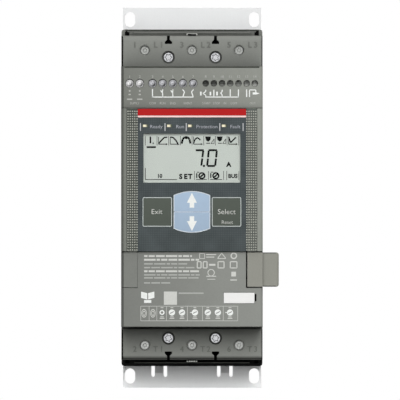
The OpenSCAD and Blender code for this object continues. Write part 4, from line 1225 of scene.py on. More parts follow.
@dataclass
class PowerTerminals:
    """Line and load terminals: covers, cover screws, clamps and their set screws."""

    phase: float = 30.0
    # Depths of the faces, out from the wall, and how far the covers' sides are set back.
    cover: float = 148.0
    rebate: float = 3.0
    ledge: float = 120.0
    latch: float = 145.0
    back: float = 140.3
    # Cover screws: depth of the heads, distance from the middle up and down, and turn from one to the next.
    screw_face: float = 146.5
    screw_z: float = 89.5
    screw_turn: float = 0.4
    # Set screws: depth of the heads and tips, distance from the middle, and turn from one to the next.
    clamp_face: float = 144.0
    clamp_tail: float = 119.3
    clamp_z: float = 94.0
    clamp_turn: float = 0.3
    # Where a mark's number, letter and phase lie beside its hole, and how high at each end.
    mark_x: tuple[float, float, float] = (-6.4, 6.8, 10.6)
    mark_z: Span = (97.6, -96.3)
    mark_h: float = 3.7
    mark_proud: float = 0.2
    # Outer and inner radius, start behind the screw's head, and height.
    collar: Span = (3.58, 3.1)
    collar_sunk: float = 0.5
    collar_h: float = 4.1
    seat: Span = (4.06, 3.45)
    seat_sunk: float = 0.9
    seat_h: float = 0.3
    # Height of the flat forms that lie on a floor.
    raised: float = 0.1
    lip: Box = (-37.2, 37.2, 103.5, 104.9)
    lip_face: float = 134.0
    lip_h: float = 1.0
    # Dark line on the line ledge: painted shade.
    groove: Box = (-42.5, 42.5, 106.5, 107.1)
    rib: Box = (-36.8, 36.8, -105.5, -105.0)
    rib_face: float = 135.8
    # Ends of a cover's side, from the middle, with the gap and the dark line along it; both are painted
    # shadow.
    side_z: Span = (83.9, 103.1)
    gap_x: float = 44.7
    gap_half: float = 0.28
    side_line: Span = (-44.36, -43.96)
    # Holes at the ledge's corners, drawn flat in near black: painted shadow.
    corner_holes: tuple[tuple[Point, ...], ...] = (
        ((-42.8, 103.6), (-42.8, 105.7), (-42.2, 106.5), (-41.4, 106.4), (-40.4, 105.3), (-40.4, 103.6)),
        ((40.1, 103.6), (40.1, 104.8), (41.0, 106.3), (42.7, 106.9), (42.7, 103.6)),
    )
    latch_proud: float = 0.06
    line_grip: tuple[Box, ...] = (
        (-3.3, 3.3, 104.4, 104.65), about(-3.1, 0.25, 103.6, 104.5), about(3.1, 0.25, 103.6, 104.5))
    load_grip: Box = (-3.4, 3.4, -104.68, -104.45)
    # First of the teeth on the load latch.
    tooth: Box = (-3.4, -2.4, -104.5, -103.9)
    tooth_pitch: float = 1.45
    teeth: int = 5
    # Slot in the line latch, drawn flat in near black: painted shadow.
    latch_slot: Box = (-2.85, 2.85, 103.55, 104.4)
    tee_z: float = 103.2
    # Half width, start and end of a slot's bar, inwards, then half width and length of its stem.
    tee_bar: Post = (2.7, 5.8, 2.8)
    tee_stem: Span = (1.1, 4.2)

    def build(self) -> None:
        """Dresses the terminals and adds screws and moulded marks."""
        dress(COVER_GREY, "line_terminal_cover", "line_terminal_block")
        dress(LOAD_GREY, "load_terminal_cover")
        dress(LEDGE_GREY, "load_terminal_block")
        dress(COPPER, "line_busbars", "load_busbars")
        dress(CLAMP, *(f"{end}_clamp_{i}" for end in ("line", "load") for i in (1, 2, 3)))
        self.cover_screws()
        self.set_screws()
        self.marks()
        self.rings("access_collars", COLLAR_GREY, Sketch(self.clamp_face - self.collar_sunk, self.collar_h),
                   (-1, 0, 1), self.clamp_z, self.collar)
        self.rings("cover_screw_seats", MARK_GREY, Sketch(self.screw_face - self.seat_sunk, self.seat_h),
                   (-0.5, 0.5), self.screw_z, self.seat)
        self.tee_floors()
        self.ledges()
        self.latches()

    def cover_screws(self) -> None:
        """Adds the four lobed cover screws."""
        form = ScrewForm(head=3.4, head_h=3.0, shank=2.0, length=92.5, drive=Drive.LOBED, recess=2.0,
                         recess_deep=0.35, chamfer=0.5)
        bm = bmesh.new()
        for number, (side, end) in enumerate(((-1, 1), (1, 1), (-1, -1), (1, -1))):
            form.build(bm, side * self.phase / 2, end * self.screw_z, self.screw_face,
                       self.screw_turn * number)
        # The recess walls take the darker steel: painted shade.
        settle(bm, "lobed_cover_screws", BRIGHT, stands_for=("cover_screws",),
               accent=DARK_STEEL)

    def set_screws(self) -> None:
        """Adds the threaded set screws that draw the clamps up."""
        form = ScrewForm(head=3.0, head_h=2.0, shank=3.0, length=self.clamp_face - self.clamp_tail,
                         drive=Drive.LOBED, recess=1.2, recess_deep=0.5, pitch=1.0)
        # The line set screws take a darker steel than the load set screws: painted light and shade.
        for end, side, finish in (("line", 1, DULL), ("load", -1, PALE_DULL)):
            for i in (1, 2, 3):
                bm = bmesh.new()
                form.build(bm, (i - 2) * self.phase, side * self.clamp_z, self.clamp_face,
                           self.clamp_turn * i)
                node = f"{end}_screw_{i}"
                # The recess walls take the dimmer steel: painted shade.
                settle(bm, f"threaded_{node}", finish, body=node, stands_for=(node,),
                       accent=DIM_STEEL)

    def marks(self) -> None:
        """Adds the moulded terminal marks beside the access holes."""
        marks = Sketch(self.cover, self.mark_proud)
        for i in range(3):
            for z, number, letter in zip(self.mark_z, (2 * i + 1, 2 * i + 2), "LT"):
                for figure, offset in zip((str(number), letter, str(i + 1)), self.mark_x):
                    marks.text(figure, (i - 1) * self.phase + offset, z, self.mark_h)
        marks.settle("terminal_marks", MARK_GREY)

    def rings(self, name: str, finish: Finish, sketch: Sketch, steps: tuple[float, ...], z: float,
              radii: Span) -> None:
        """Adds a piece of rings around screws, at the line end and the load end.

        Args:
            name: The piece's name.
            finish: Its finish.
            sketch: The empty drawing that takes them.
            steps: Where they lie across, in phases.
            z: Their distance from the middle, up and down.
            radii: Their outer and inner radius.
        """
        for step in steps:
            for height in (-z, z):
                sketch.ring(step * self.phase, height, *radii)
        sketch.settle(name, finish)

    def tee_floors(self) -> None:
        """Adds painted shadow, flat and near black, at the floors of the T-shaped slots."""
        dark = Sketch(self.back, self.raised)
        half, start, stop = self.tee_bar
        stem_half, stem = self.tee_stem
        for side in (-1, 1):
            for end in (-1, 1):
                x, z = side * self.phase / 2, end * self.tee_z
                dark.bar(*about(x, half, z - end * start, z - end * stop))
                dark.bar(*about(x, stem_half, z - end * stem, z))
        dark.settle("tee_floors", HOLE_SHADOW, slot=Slot.BLACK)

    def ledges(self) -> None:
        """Adds the lip and rib of the set-back ledges, with painted shade: a dark line and near-black corner
        holes on the ledges, black gaps beside the covers and near-black lines along them.
        """
        low, high = self.side_z
        bars("line_ledge_lip", MARK_GREY, self.lip_face, self.lip, proud=self.lip_h)
        # Dark line on the ledge: painted shade.
        bars("line_ledge_shade", LEDGE_SHADE_GREY, self.ledge, self.groove, proud=self.raised)
        # Black in the gaps beside the covers and near-black lines on their left edges: painted shadow.
        bars("cover_side_gaps", BLACK, self.cover - self.rebate,
             *(about(x, self.gap_half, end * low, end * high) for x in (-self.gap_x, self.gap_x)
               for end in (-1, 1)))
        bars("cover_side_lines", HOLE_SHADOW, self.cover,
             *((*self.side_line, end * low, end * high) for end in (-1, 1)))
        # Near-black holes at the ledge's corners: painted shadow.
        holes = Sketch(self.ledge)
        for outline in self.corner_holes:
            holes.shape(outline)
        holes.settle("ledge_corner_holes", HOLE_SHADOW, slot=Slot.BLACK)
        bars("load_ledge_rib", MARK_GREY, self.rib_face, self.rib, proud=self.raised)

    def latches(self) -> None:
        """Adds the grips of both latches and the slot in the line latch."""
        bars("line_latch_grip", LABEL_INK, self.latch, *self.line_grip, proud=self.latch_proud)
        left, right, low, high = self.tooth
        steps = [self.tooth_pitch * k for k in range(self.teeth)]
        teeth = [(left + step, right + step, low, high) for step in steps]
        bars("load_latch_grip", SOFT_INK, self.latch, *teeth, self.load_grip, proud=self.latch_proud)
        # Near-black slot: painted shadow.
        bars("latch_slot", HOLE_SHADOW, self.latch, self.latch_slot, slot=Slot.BLACK)


@dataclass
class PowerStage:
    """Main housing and what it holds."""

    def build(self) -> None:
        """Dresses the housing, the modules and the boards."""
        dress(DARK_GREY, "main_housing")
        dress(BLACK, "thyristor_modules", "bypass_relays", "current_transformers", "key_switches")
        dress(BOARD, "power_board", "control_board", "display_board")


@dataclass
class ControlTerminals:
    """Control cover with its two terminal rows and their diagrams."""

    # Depths of the cover's face and of the supply screws' domes.
    face: float = 183.0
    head_face: float = 182.3
    # Turn of the first slot in a row of heads, and turn from one to the next.
    head_turn: Span = (0.5, 0.7)
    row_z: float = 72.55
    supply: tuple[float, ...] = (-39.6, -33.15, -25.05, -18.6, -12.15, -5.7, 0.75)
    signal_first: float = 8.75
    signal_pitch: float = 5.2
    signal_count: int = 7
    # Width of the diagrams' lines, and heights of their common line and their contacts.
    pen: float = 0.66
    base: float = 64.0
    contact: float = 68.6
    # Bar of a push button.
    button: Post = (0.5, 65.0, 67.4)
    number_z: float = 77.0
    number_h: float = 1.7
    # Bars under the mains terminals.
    supply_bars: tuple[Post, ...] = ((0.5, 67.4, 68.4), (0.7, 65.2, 66.0), (1.7, 62.2, 63.0))
    words: tuple[tuple[str, float], ...] = (
        ("SUPPLY", -36.4), ("COM", -25.0), ("RUN", -18.6), ("END", -12.1), ("EVENT", -2.6),
        ("START", 9.2), ("STOP", 15.6), ("IN", 21.0), ("COM", 26.6), ("OUT", 38.6))
    word_z: float = 60.1
    word_h: float = 1.55
    word_stretch: float = 0.86
    # Dark line along the control cover's top edge: painted shade.
    seam: Box = (-42.9, 42.9, 82.5, 83.36)

    @property
    def signal(self) -> tuple[float, ...]:
        """Where the signal terminals lie across."""
        return tuple(self.signal_first + self.signal_pitch * i for i in range(self.signal_count))

    def build(self) -> None:
        """Dresses the rows and adds heads, diagrams, numbers and words."""
        dress(GREY, "front_housing")
        dress(CONTROL_GREY, "control_cover")
        dress(DARK_GREY, "supply_terminal_block", "signal_terminal_block")
        dress(SUNK_STEEL, "signal_terminal_screws")
        self.heads()
        self.diagrams()
        self.lettering()
        # Dark line along the top edge: painted shade.
        bars("control_top_seam", SEAM_SHADOW, self.face, self.seam)

    def heads(self) -> None:
        """Adds the domed heads of the supply terminals."""
        form = ScrewForm(head=2.5, head_h=2.2, shank=1.5, length=10.0, drive=Drive.SLOT, recess=0.06,
                         recess_deep=0.5, dome=1.4)
        first, step = self.head_turn
        # The mains heads take a lighter steel than the relay heads: painted light.
        for name, finish, places in (("supply_mains_heads", PALE_STEEL, self.supply[:2]),
                                     ("supply_relay_heads", HEAD_STEEL, self.supply[2:])):
            bm = bmesh.new()
            for number, x in enumerate(places):
                form.build(bm, x, self.row_z, self.head_face, first + step * number)
            settle(bm, name, finish, stands_for=("supply_terminal_screws",))

    def diagrams(self) -> None:
        """Adds the printed wiring diagrams under the rows."""
        ink = Sketch(self.face)
        self.relay_diagram(ink)
        self.signal_diagram(ink)
        ink.settle("control_diagrams", WHITE_INK)

    def relay_diagram(self, ink: Sketch) -> None:
        """Draws the common line and the four contacts of the relays.

        Args:
            ink: The drawing that takes it.
        """
        pen, base = self.pen, self.base
        common, last = self.supply[2], self.supply[6]
        ink.path([(common, 69.0), (common, base)], pen)
        ink.stroke((common - pen / 2, base), (last + 0.2, base), pen)
        for x in self.supply[3:5]:
            ink.path([(x + 0.1, 68.9), (x - 0.1, 67.0), (x + 0.1, base)], pen)
            ink.stroke((x - 1.3, 68.3), (x - 0.4, 66.9), pen)
        for x, side in ((self.supply[5], 1), (last, -1)):
            ink.path([(x - side * 0.3, 68.8), (x + side * 1.0, 67.3), (x - side * 0.1, base)], pen)

    def signal_diagram(self, ink: Sketch) -> None:
        """Draws the push buttons, the inputs and the output of the signal row.

        Args:
            ink: The drawing that takes it.
        """
        pen, base, top = self.pen, self.base, self.contact
        first, second, third = self.signal[:3]
        ink.path([(first, top), (first, 67.5), (first - 1.7, 66.3), (first, 65.2), (first, base)], pen)
        ink.path([(second, top), (second, base)], pen)
        ink.path([(third, top), (third + 0.2, 67.6), (third - 0.9, 66.6), (third, 65.5), (third, base)], pen)
        for x in (first - 3.1, second - 2.2, third - 3.2):
            ink.bar(*about(x, *self.button))
        ink.stroke((first - pen / 2, base), (self.signal[4] + pen / 2, base), pen)
        for x in self.signal[3:6]:
            ink.stroke((x, 68.9), (x, base), pen)
        ink.path([(36.6, base), (36.6, 68.5), (40.6, 68.5), (40.6, 67.0)], pen)
        ink.shape([(38.6, 67.0), (40.8, 67.0), (43.0, 66.3), (40.8, 65.6), (38.6, 65.6)])

    def lettering(self) -> None:
        """Adds terminal numbers and words of function."""
        ink = Sketch(self.face)
        for number, x in enumerate((*self.supply, *self.signal), 1):
            ink.text(str(number), x, self.number_z, self.number_h)
        for x in self.supply[:2]:
            for post in self.supply_bars:
                ink.bar(*about(x, *post))
        for word, x in self.words:
            ink.text(word, x, self.word_z, self.word_h, stretch=self.word_stretch)
        ink.settle("control_words", FAINT_INK)


@dataclass
class DisplayPanel:
    """Bezel, overlay, title strip, status row and liquid-crystal display."""

    # Depths of the faces, out from the wall.
    bezel: float = 185.2
    overlay: float = 185.7
    glass: float = 182.4
    # Inner and outer side of the dark bands, and their ends.
    band: Span = (34.5, 41.2)
    band_z: Span = (-33.6, 56.6)
    band_proud: float = 0.03
    # Foot and top over the corners, height, and middle in front of the bezel.
    stud_radii: Span = (0.645, 0.559)
    stud_h: float = 0.28
    stud_mid: float = 0.1
    stud_first: float = 34.85
    stud_pitch: Span = (1.44, 1.6)
    stud_columns: int = 5
    # Height of the first row, in rows above the band's foot.
    stud_start: float = 0.3
    lights: tuple[float, ...] = (-29.5, -14.2, -0.9, 20.6)
    underline: Box = (-34.4, 34.4, 51.1, 52.2)
    separators: tuple[float, ...] = (-32.7, -17.1, -3.6, 17.7, 32.5)
    separator: Post = (0.3, 42.4, 47.4)
    # Word, place across and width of the letters.
    status: tuple[tuple[str, float, float], ...] = (
        ("Ready", -22.7, 1.1), ("Run", -7.5, 1.12), ("Protection", 9.5, 1.05), ("Fault", 27.5, 1.12))
    status_z: float = 45.3
    status_h: float = 2.2
    # Half the width of the display's upright lines.
    rule: float = 0.15
    cell_first: float = -29.6
    cell_pitch: float = 7.42
    cell_count: int = 9
    cell_z: Span = (33.3, 39.3)
    # Cells that hold a curve on axes, and its points from the cell's left.
    curves: tuple[tuple[int, tuple[Point, ...]], ...] = (
        (1, ((1.0, 34.4), (2.2, 35.8), (4.6, 38.3), (6.6, 38.5))),
        (2, ((0.9, 38.5), (2.8, 38.3), (4.6, 36.4), (5.8, 34.4))),
        (4, ((1.0, 34.6), (1.8, 37.0), (3.2, 38.2), (4.4, 37.6), (5.2, 36.6))),
        (7, ((1.0, 38.6), (2.2, 35.0), (5.6, 38.4))),
    )
    arrow: tuple[Point, ...] = ((5.6, 33.4), (6.9, 34.05), (5.6, 34.7))
    hat: tuple[Point, ...] = ((0.8, 34.4), (1.5, 37.2), (2.8, 38.5), (4.6, 38.5), (5.8, 37.2), (6.4, 34.4))
    shield: tuple[Point, ...] = ((0.9, 38.9), (4.6, 38.9), (4.1, 36.6), (2.8, 35.6), (1.4, 36.6))
    wedge: tuple[Point, ...] = ((4.6, 34.4), (6.6, 34.4), (6.6, 37.4), (4.6, 34.4))

    def build(self) -> None:
        """Dresses the panel and adds studs, prints and the display's picture."""
        dress(GREY, "display_bezel")
        dress(OVERLAY, "keypad_overlay")
        dress(RED, "title_strip")
        dress(LCD, "lcd_module")
        dress(WINDOW, "lcd_window")
        centres = tuple(x * MM for x in self.lights)
        dress(Lens("lights", (246, 238, 206), 0.35, centres=centres), "status_lights")
        # The right band takes a lighter grey than the left: painted light from the right.
        for name, side, finish in (("left", -1, BAND_GREY), ("right", 1, PALE_BAND)):
            bars(f"bezel_band_{name}", finish, self.bezel,
                 (side * self.band[0], side * self.band[1], *self.band_z), proud=self.band_proud)
        self.studs()
        self.status_row()
        self.picture()

    def studs(self) -> None:
        """Adds the rows of small raised studs on the dark bands."""
        bm = bmesh.new()
        low, high = self.band_z
        foot, top = self.stud_radii
        step, rise = self.stud_pitch
        for side in (-1, 1):
            for column in range(self.stud_columns):
                for row in range(int((high - low) / rise)):
                    seat = facing_front(side * (self.stud_first + column * step), self.bezel + self.stud_mid,
                                        low + (row + self.stud_start) * rise, math.pi / 4)
                    bmesh.ops.create_cone(bm, cap_ends=True, segments=4, radius1=foot, radius2=top,
                                          depth=self.stud_h, matrix=seat)
        settle(bm, "bezel_studs", STUD_GREY)

    def status_row(self) -> None:
        """Adds the underline, the separators and the words of the status row."""
        bars("title_underline", PINK_INK, self.overlay, self.underline, slot=Slot.FOIL)
        bars("status_separators", PALE_INK, self.overlay,
             *(about(x, *self.separator) for x in self.separators), slot=Slot.FOIL)
        ink = Sketch(self.overlay)
        for word, x, stretch in self.status:
            ink.text(word, x, self.status_z, self.status_h, stretch=stretch)
        ink.settle("status_words", WORD_INK, slot=Slot.FOIL)

    def picture(self) -> None:
        """Adds what the display shows."""
        ink = Sketch(self.glass)
        self.icons(ink)
        self.reading(ink)
        self.bottom_row(ink)
        ink.settle("display_picture", LCD_INK, slot=Slot.LCD)

    def icons(self, ink: Sketch) -> None:
        """Draws the row of function icons, each in its cell.

        Args:
            ink: The drawing that takes it.
        """
        cells = [self.cell_first + self.cell_pitch * k for k in range(self.cell_count)]
        for x in cells:
            ink.bar(*about(x, self.rule, *self.cell_z))
        ink.bar(-28.8, -22.9, 31.6, 32.7)
        ink.bar(cells[0] + 2.7, cells[0] + 3.7, 34.6, 38.9)
        ink.text("e", cells[0] + 5.0, 34.9, 1.5, weight=0.05)
        for k, curve in self.curves:
            ink.path(beside(cells[k], curve), 0.9)
            ink.bar(cells[k] + 0.9, cells[k] + 6.4, 33.8, 34.3)
            ink.bar(cells[k] + 0.8, cells[k] + 1.2, 34.0, 38.8)
            ink.shape(beside(cells[k], self.arrow))
        ink.path(beside(cells[3], self.hat), 1.3)
        ink.disc(cells[3] + 3.7, 38.2, 1.0)
        for x in cells[5:7]:
            ink.shape(beside(x, self.shield))
            ink.bar(x + 1.6, x + 4.0, 34.4, 34.9)
            ink.path(beside(x, self.wedge), 0.35)

    def reading(self, ink: Sketch) -> None:
        """Draws the large slanted reading and its unit.

        Args:
            ink: The drawing that takes it.
        """
        pen, top, bottom, lean = 1.25, 30.2, 20.2, 0.75
        ink.stroke((2.4, top), (7.5, top), pen)
        ink.stroke((7.2, top - 0.2), (6.65, 25.7), pen)
        ink.stroke((6.6, 25.0), (5.96, bottom + 0.2), pen)
        left, right = 10.6, 15.9
        ink.stroke((left, top), (right, top), pen)
        ink.stroke((left - lean, bottom), (right - 2 * lean + 0.2, bottom), pen)
        for x in (left + 0.1, right - 0.1):
            ink.stroke((x, top - 0.2), (x - lean * 0.55, 25.6), pen)
            ink.stroke((x - lean * 0.65, 24.9), (x - lean * 1.35, bottom + 0.2), pen)
        ink.bar(7.0, 8.3, 19.6, 20.9)
        ink.text("A", 23.4, 21.3, 2.9, weight=0.24)

    def bottom_row(self, ink: Sketch) -> None:
        """Draws the scale, the set value and the bottom icons.

        Args:
            ink: The drawing that takes it.
        """
        foot = (11.4, 11.8)
        ink.bar(-29.8, -29.4, 11.4, 18.9)
        ink.bar(-29.8, -9.5, *foot)
        ink.text("10", -20.5, 13.95, 2.4, weight=0.14)
        for letter, x in (("S", -7.1), ("E", -4.0), ("T", -1.1)):
            ink.text(letter, x, 13.6, 3.1, weight=0.22)
        for x in (1.6, 10.5, 20.1, 22.1, 29.8):
            ink.bar(*about(x, self.rule, 11.3, 17.0))
        for x in (6.3, 15.2):
            ink.ring(x, 14.0, 2.3, 1.3)
            ink.stroke((x - 0.9, 13.2), (x + 1.1, 15.0), 1.0)
            ink.bar(x - 3.6, x - 2.8, 12.6, 15.6)
            ink.bar(x - 3.2, x - 1.6, 16.0, 16.5)
        ink.bar(2.6, 9.4, *foot)
        ink.bar(11.6, 19.2, *foot)
        ink.text("BUS", 26.0, 13.9, 2.5, weight=0.14)


@dataclass
class Keypad:
    """Four embossed keys and their print."""

    # Depths of rims and faces, and the height between the arrow keys.
    front: float = 186.0
    face: float = 185.9
    middle: float = -9.0
    # Each key's words, with their place and the height of their capitals.
    words: tuple[tuple[Body, tuple[tuple[str, float, float, float], ...]], ...] = (
        (Body.EXIT_KEY, (("Exit", -22.3, -8.7, 3.3),)),
        (Body.SELECT_KEY, (("Select", 22.0, -8.7, 3.4), ("Reset", 22.4, -15.4, 2.3))),
    )
    word_weight: float = -0.03
    word_stretch: float = 1.03
    arrow: tuple[Point, ...] = (
        (0, 3.1), (3.2, -3.2), (1.45, -3.2), (1.45, -6.3), (-1.45, -6.3), (-1.45, -3.2), (-3.2, -3.2))
    # Half the width of the edges between the arrow keys, and their sides from the middle.
    edge: Post = (11.0, 0.16, 0.4)
    # Floor of the gap between the arrow keys.
    gap: Box = (-11.2, 11.2, -9.13, -8.87)
    gap_face: float = 185.3
    gap_proud: float = 0.1

    def build(self) -> None:
        """Dresses the keys and adds words and arrows."""
        threshold = -(self.front + self.face) / 2 * MM
        for name, colour, rim, keys in (
                ("grey_key", (84, 90, 83), (194, 201, 199), ("exit_key", "select_key")),
                ("blue_key", (165, 185, 206), (216, 224, 230), ("up_key", "down_key"))):
            dress(KeyFoil(name, colour, rim=rim, rim_front=threshold), *keys)
        for body, words in self.words:
            ink = Sketch(self.face)
            for word, x, z, height in words:
                ink.text(word, x, z, height, self.word_weight, self.word_stretch)
            ink.settle(f"{body.value}_words", LABEL_INK, body, Slot.FOIL)
        half, near, far = self.edge
        for side, body in ((1, Body.UP_KEY), (-1, Body.DOWN_KEY)):
            ink = Sketch(self.face)
            ink.shape([(x, self.middle + side * (z - self.middle)) for x, z in self.arrow])
            ink.settle(f"{body.value}_arrow", WHITE_INK, body, Slot.FOIL)
            line = (-half, half, self.middle + side * near, self.middle + side * far)
            bars(f"{body.value}_edge", EDGE_INK, self.face, line, body=body, slot=Slot.FOIL)
        bars("arrow_gap_floor", EDGE_INK, self.gap_face, self.gap, proud=self.gap_proud, slot=Slot.FOIL)


@dataclass
class LabelSection:
    """Label cover below the display, with plain rows, a pictogram and a terminal table."""

    face: float = 183.0
    # Height, left and right end of each plain row, and the numbers of the bold ones.
    rows: tuple[tuple[float, float, float], ...] = (
        (-37.05, -30.4, 0.0), (-39.4, -30.4, 4.6), (-42.0, -30.4, -2.0), (-44.4, -30.4, 2.6),
        (-46.7, -30.4, 5.0), (-49.0, -30.4, 5.0), (-50.9, -30.4, 4.2), (-54.1, -30.4, -13.8))
    bold_rows: tuple[int, ...] = (0, 1, 4)
    # Half the height of a bold and of a thin row, and the gap between bars.
    bold: float = 0.6
    thin: float = 0.42
    word_gap: float = 0.7
    # Shortest bar, step to longer ones, and length at a row's end that stays empty.
    word_w: Span = (2.2, 1.7)
    word_rest: float = 0.8
    fine_row: Box = (-8.4, 7.4, -61.1, -60.2)
    field: Box = (-17.8, -9.5, -68.0, -59.6)
    # Tongue in the left seam, its start behind the face and its height.
    seam: Box = (-34.69, -34.41, -57.0, -34.7)
    seam_sunk: float = 0.35
    seam_proud: float = 0.15
    # Floor of the notch beside the tag, painted near black: painted shadow.
    notch: Box = (39.98, 40.95, -65.74, -61.2)
    notch_floor: float = 181.25
    notch_proud: float = 0.1
    symbol_bars: tuple[Box, ...] = (
        (9.0, 15.4, -36.4, -35.8), (9.0, 14.2, -38.0, -37.4), (10.9, 14.9, -43.2, -42.0),
        (9.2, 15.4, -50.2, -49.6), (9.8, 14.8, -52.0, -51.6), (25.0, 28.0, -50.0, -47.0),
        (24.4, 28.6, -52.6, -51.9))
    # Left side and width, then the height that they share.
    symbol_frames: tuple[Point, ...] = ((3.4, 2.4), (7.2, 2.4), (16.6, 3.8), (24.4, 4.2))
    symbol_z: Span = (-44.6, -40.6)
    book: tuple[tuple[Point, ...], ...] = (
        ((-32.3, -59.6), (-28.4, -60.6), (-28.4, -64.6), (-32.3, -63.6)),
        ((-27.8, -60.6), (-23.9, -59.6), (-23.9, -63.6), (-27.8, -64.6)))
    book_foot: Box = (-30.4, -25.8, -66.8, -65.0)
    # Sides of the terminal table, the lines between its columns and its terminals.
    table_z: Span = (-78.2, -68.9)
    table_x: Span = (-32.5, 29.1)
    columns: tuple[float, ...] = (-27.2, -22.3, -16.2, -2.9, 6.7, 19.9)
    line_w: float = 0.28
    disc_z: float = -72.9
    disc_r: float = 2.0
    discs: tuple[float, ...] = (-12.7, -6.3, 1.9, 10.1, 16.5, 24.2)
    ring_x: float = -19.0
    ring_r: Span = (1.6, 0.8)
    # Discs with a short line at their left, its ends from the disc's middle and its width.
    hooks: tuple[float, ...] = (1.9, 24.2)
    hook_x: Span = (-3.0, -1.8)
    hook_w: float = 0.5
    # Half the length of a disc's slanted slot, across and up, its width and how far it stands out.
    slot: Point = (1.2, 0.6)
    slot_w: float = 0.45
    slot_proud: float = 0.06
    # Bars in each cell.
    cell_bars: tuple[Post, ...] = ((1.5, -76.9, -76.3), (1.1, -75.9, -75.4), (0.9, -70.1, -69.6))
    ovals: tuple[float, ...] = (-30.4, -24.8)
    oval_z: float = -73.4
    # Half the widths of two nested ovals, the width of their lines, and height as a share of width.
    oval_r: Span = (1.7, 1.0)
    oval_w: float = 0.35
    oval_stretch: float = 1.6

    def build(self) -> None:
        """Dresses the covers and the tag and adds plain print."""
        dress(LABEL_GREY, "label_cover")
        dress(STRIP_GREY, "blanking_cover")
        dress(TAG, "marker_tag")
        self.plain_rows()
        bars("label_seam_tongue", LABEL_GREY, self.face - self.seam_sunk, self.seam, proud=self.seam_proud)
        bars("tag_notch_floor", HOLE_SHADOW, self.notch_floor, self.notch, proud=self.notch_proud,
             slot=Slot.BLACK)
        self.symbols()
        self.terminals()
        self.table()

    def plain_rows(self) -> None:
        """Adds plain bars of changing length where the label's lines stand."""
        bold, thin = Sketch(self.face), Sketch(self.face)
        short, step = self.word_w
        for number, (z, x, right) in enumerate(self.rows):
            ink, half = (bold, self.bold) if number in self.bold_rows else (thin, self.thin)
            word = 0
            while x < right - self.word_rest:
                end = min(x + short + step * ((number * 3 + word * 5) % 4), right)
                ink.bar(x, end, z - half, z + half)
                x, word = end + self.word_gap, word + 1
        thin.bar(*self.fine_row)
        bold.bar(*self.field)
        bold.settle("label_rows", LABEL_INK)
        thin.settle("label_fine_rows", SOFT_INK)

    def symbols(self) -> None:
        """Adds plain shapes in the symbol field."""
        ink = Sketch(self.face)
        for box in self.symbol_bars:
            ink.bar(*box)
        ink.frame(4.9, 8.1, -38.6, -35.4, 0.4)
        for x, wide in self.symbol_frames:
            ink.frame(x, x + wide, *self.symbol_z, 0.7)
        ink.path([(16.2, -38.6), (18.9, -35.2), (21.6, -38.6), (16.2, -38.6)], 0.5)
        ink.ring(26.6, -36.9, 2.1, 1.3)
        ink.ring(12.2, -47.6, 2.3, 1.8)
        ink.settle("label_symbols", LABEL_INK)

    def terminals(self) -> None:
        """Adds the open-book pictogram and the terminals in the table, with their slots."""
        ink = Sketch(self.face)
        for page in self.book:
            ink.shape(page)
        ink.bar(*self.book_foot)
        for x in self.discs:
            ink.disc(x, self.disc_z, self.disc_r)
        ink.ring(self.ring_x, self.disc_z, *self.ring_r)
        start, stop = self.hook_x
        for x in self.hooks:
            ink.stroke((x + start, self.disc_z), (x + stop, self.disc_z), self.hook_w)
        ink.settle("label_table_discs", WHITE_INK)
        slots = Sketch(self.face, self.slot_proud)
        dx, dz = self.slot
        for x in self.discs:
            slots.stroke((x - dx, self.disc_z - dz), (x + dx, self.disc_z + dz), self.slot_w)
        slots.settle("label_table_slots", SLOT_INK)

    def table(self) -> None:
        """Adds the lines of the terminal table and the small bars and ovals in its cells."""
        lines = Sketch(self.face)
        lines.frame(*self.table_x, *self.table_z, self.line_w)
        for x in self.columns:
            lines.bar(*about(x, self.line_w / 2, *self.table_z))
        for x in (self.ring_x, *self.discs):
            for post in self.cell_bars:
                lines.bar(*about(x, *post))
        for x in self.ovals:
            for outer in self.oval_r:
                lines.ring(x, self.oval_z, outer, outer - self.oval_w, self.oval_stretch)
        lines.settle("label_table_lines", LABEL_INK)


@dataclass
class BusConnector:
    """Socket at the right and the cap that fills it."""

    # Face and sides of the cap's grip, and the height of its shaded edges.
    grip_face: float = 183.4
    grip_x: Span = (45.3, 53.4)
    grip_z: Span = (-56.5, -34.8)
    edge: float = 0.6

    def build(self) -> None:
        """Dresses the socket and its cap, and adds the shaded edges of the cap's grip."""
        dress(DARK_GREY, "bus_socket")
        dress(CAP_GREY, "bus_cap")
        low, high = self.grip_z
        for name, z, finish in (("grip_lower_edge", low, SEAM_SHADOW),
                                ("grip_upper_edge", high - self.edge, MARK_GREY)):
            bars(name, finish, self.grip_face, (*self.grip_x, z, z + self.edge), body=Body.BUS_CAP,
                 slot=Slot.CAP)


@dataclass(frozen=True)
class Lamp:
    """A soft square lamp.

    Attributes:
        name: The lamp's name.
        spot: Where it stands.
        aim: What it looks at.
        size: Its side in metres.
        power: Watts.
    """

    name: str
    spot: Place
    aim: Place
    size: float
    power: float

    def build(self) -> bpy.types.Object:
        """Puts the lamp up and returns it.

        Returns:
            The lamp.
        """
        light = bpy.data.lights.new(self.name, "AREA")
        light.size = self.size
        light.energy = self.power
        lamp = bpy.data.objects.new(self.name, light)
        lamp.location = self.spot
        lamp.visible_glossy = False
        lamp.rotation_euler = (Vector(self.aim) - Vector(self.spot)).to_track_quat("-Z", "Y").to_euler()
        bpy.context.scene.collection.objects.link(lamp)
        return lamp


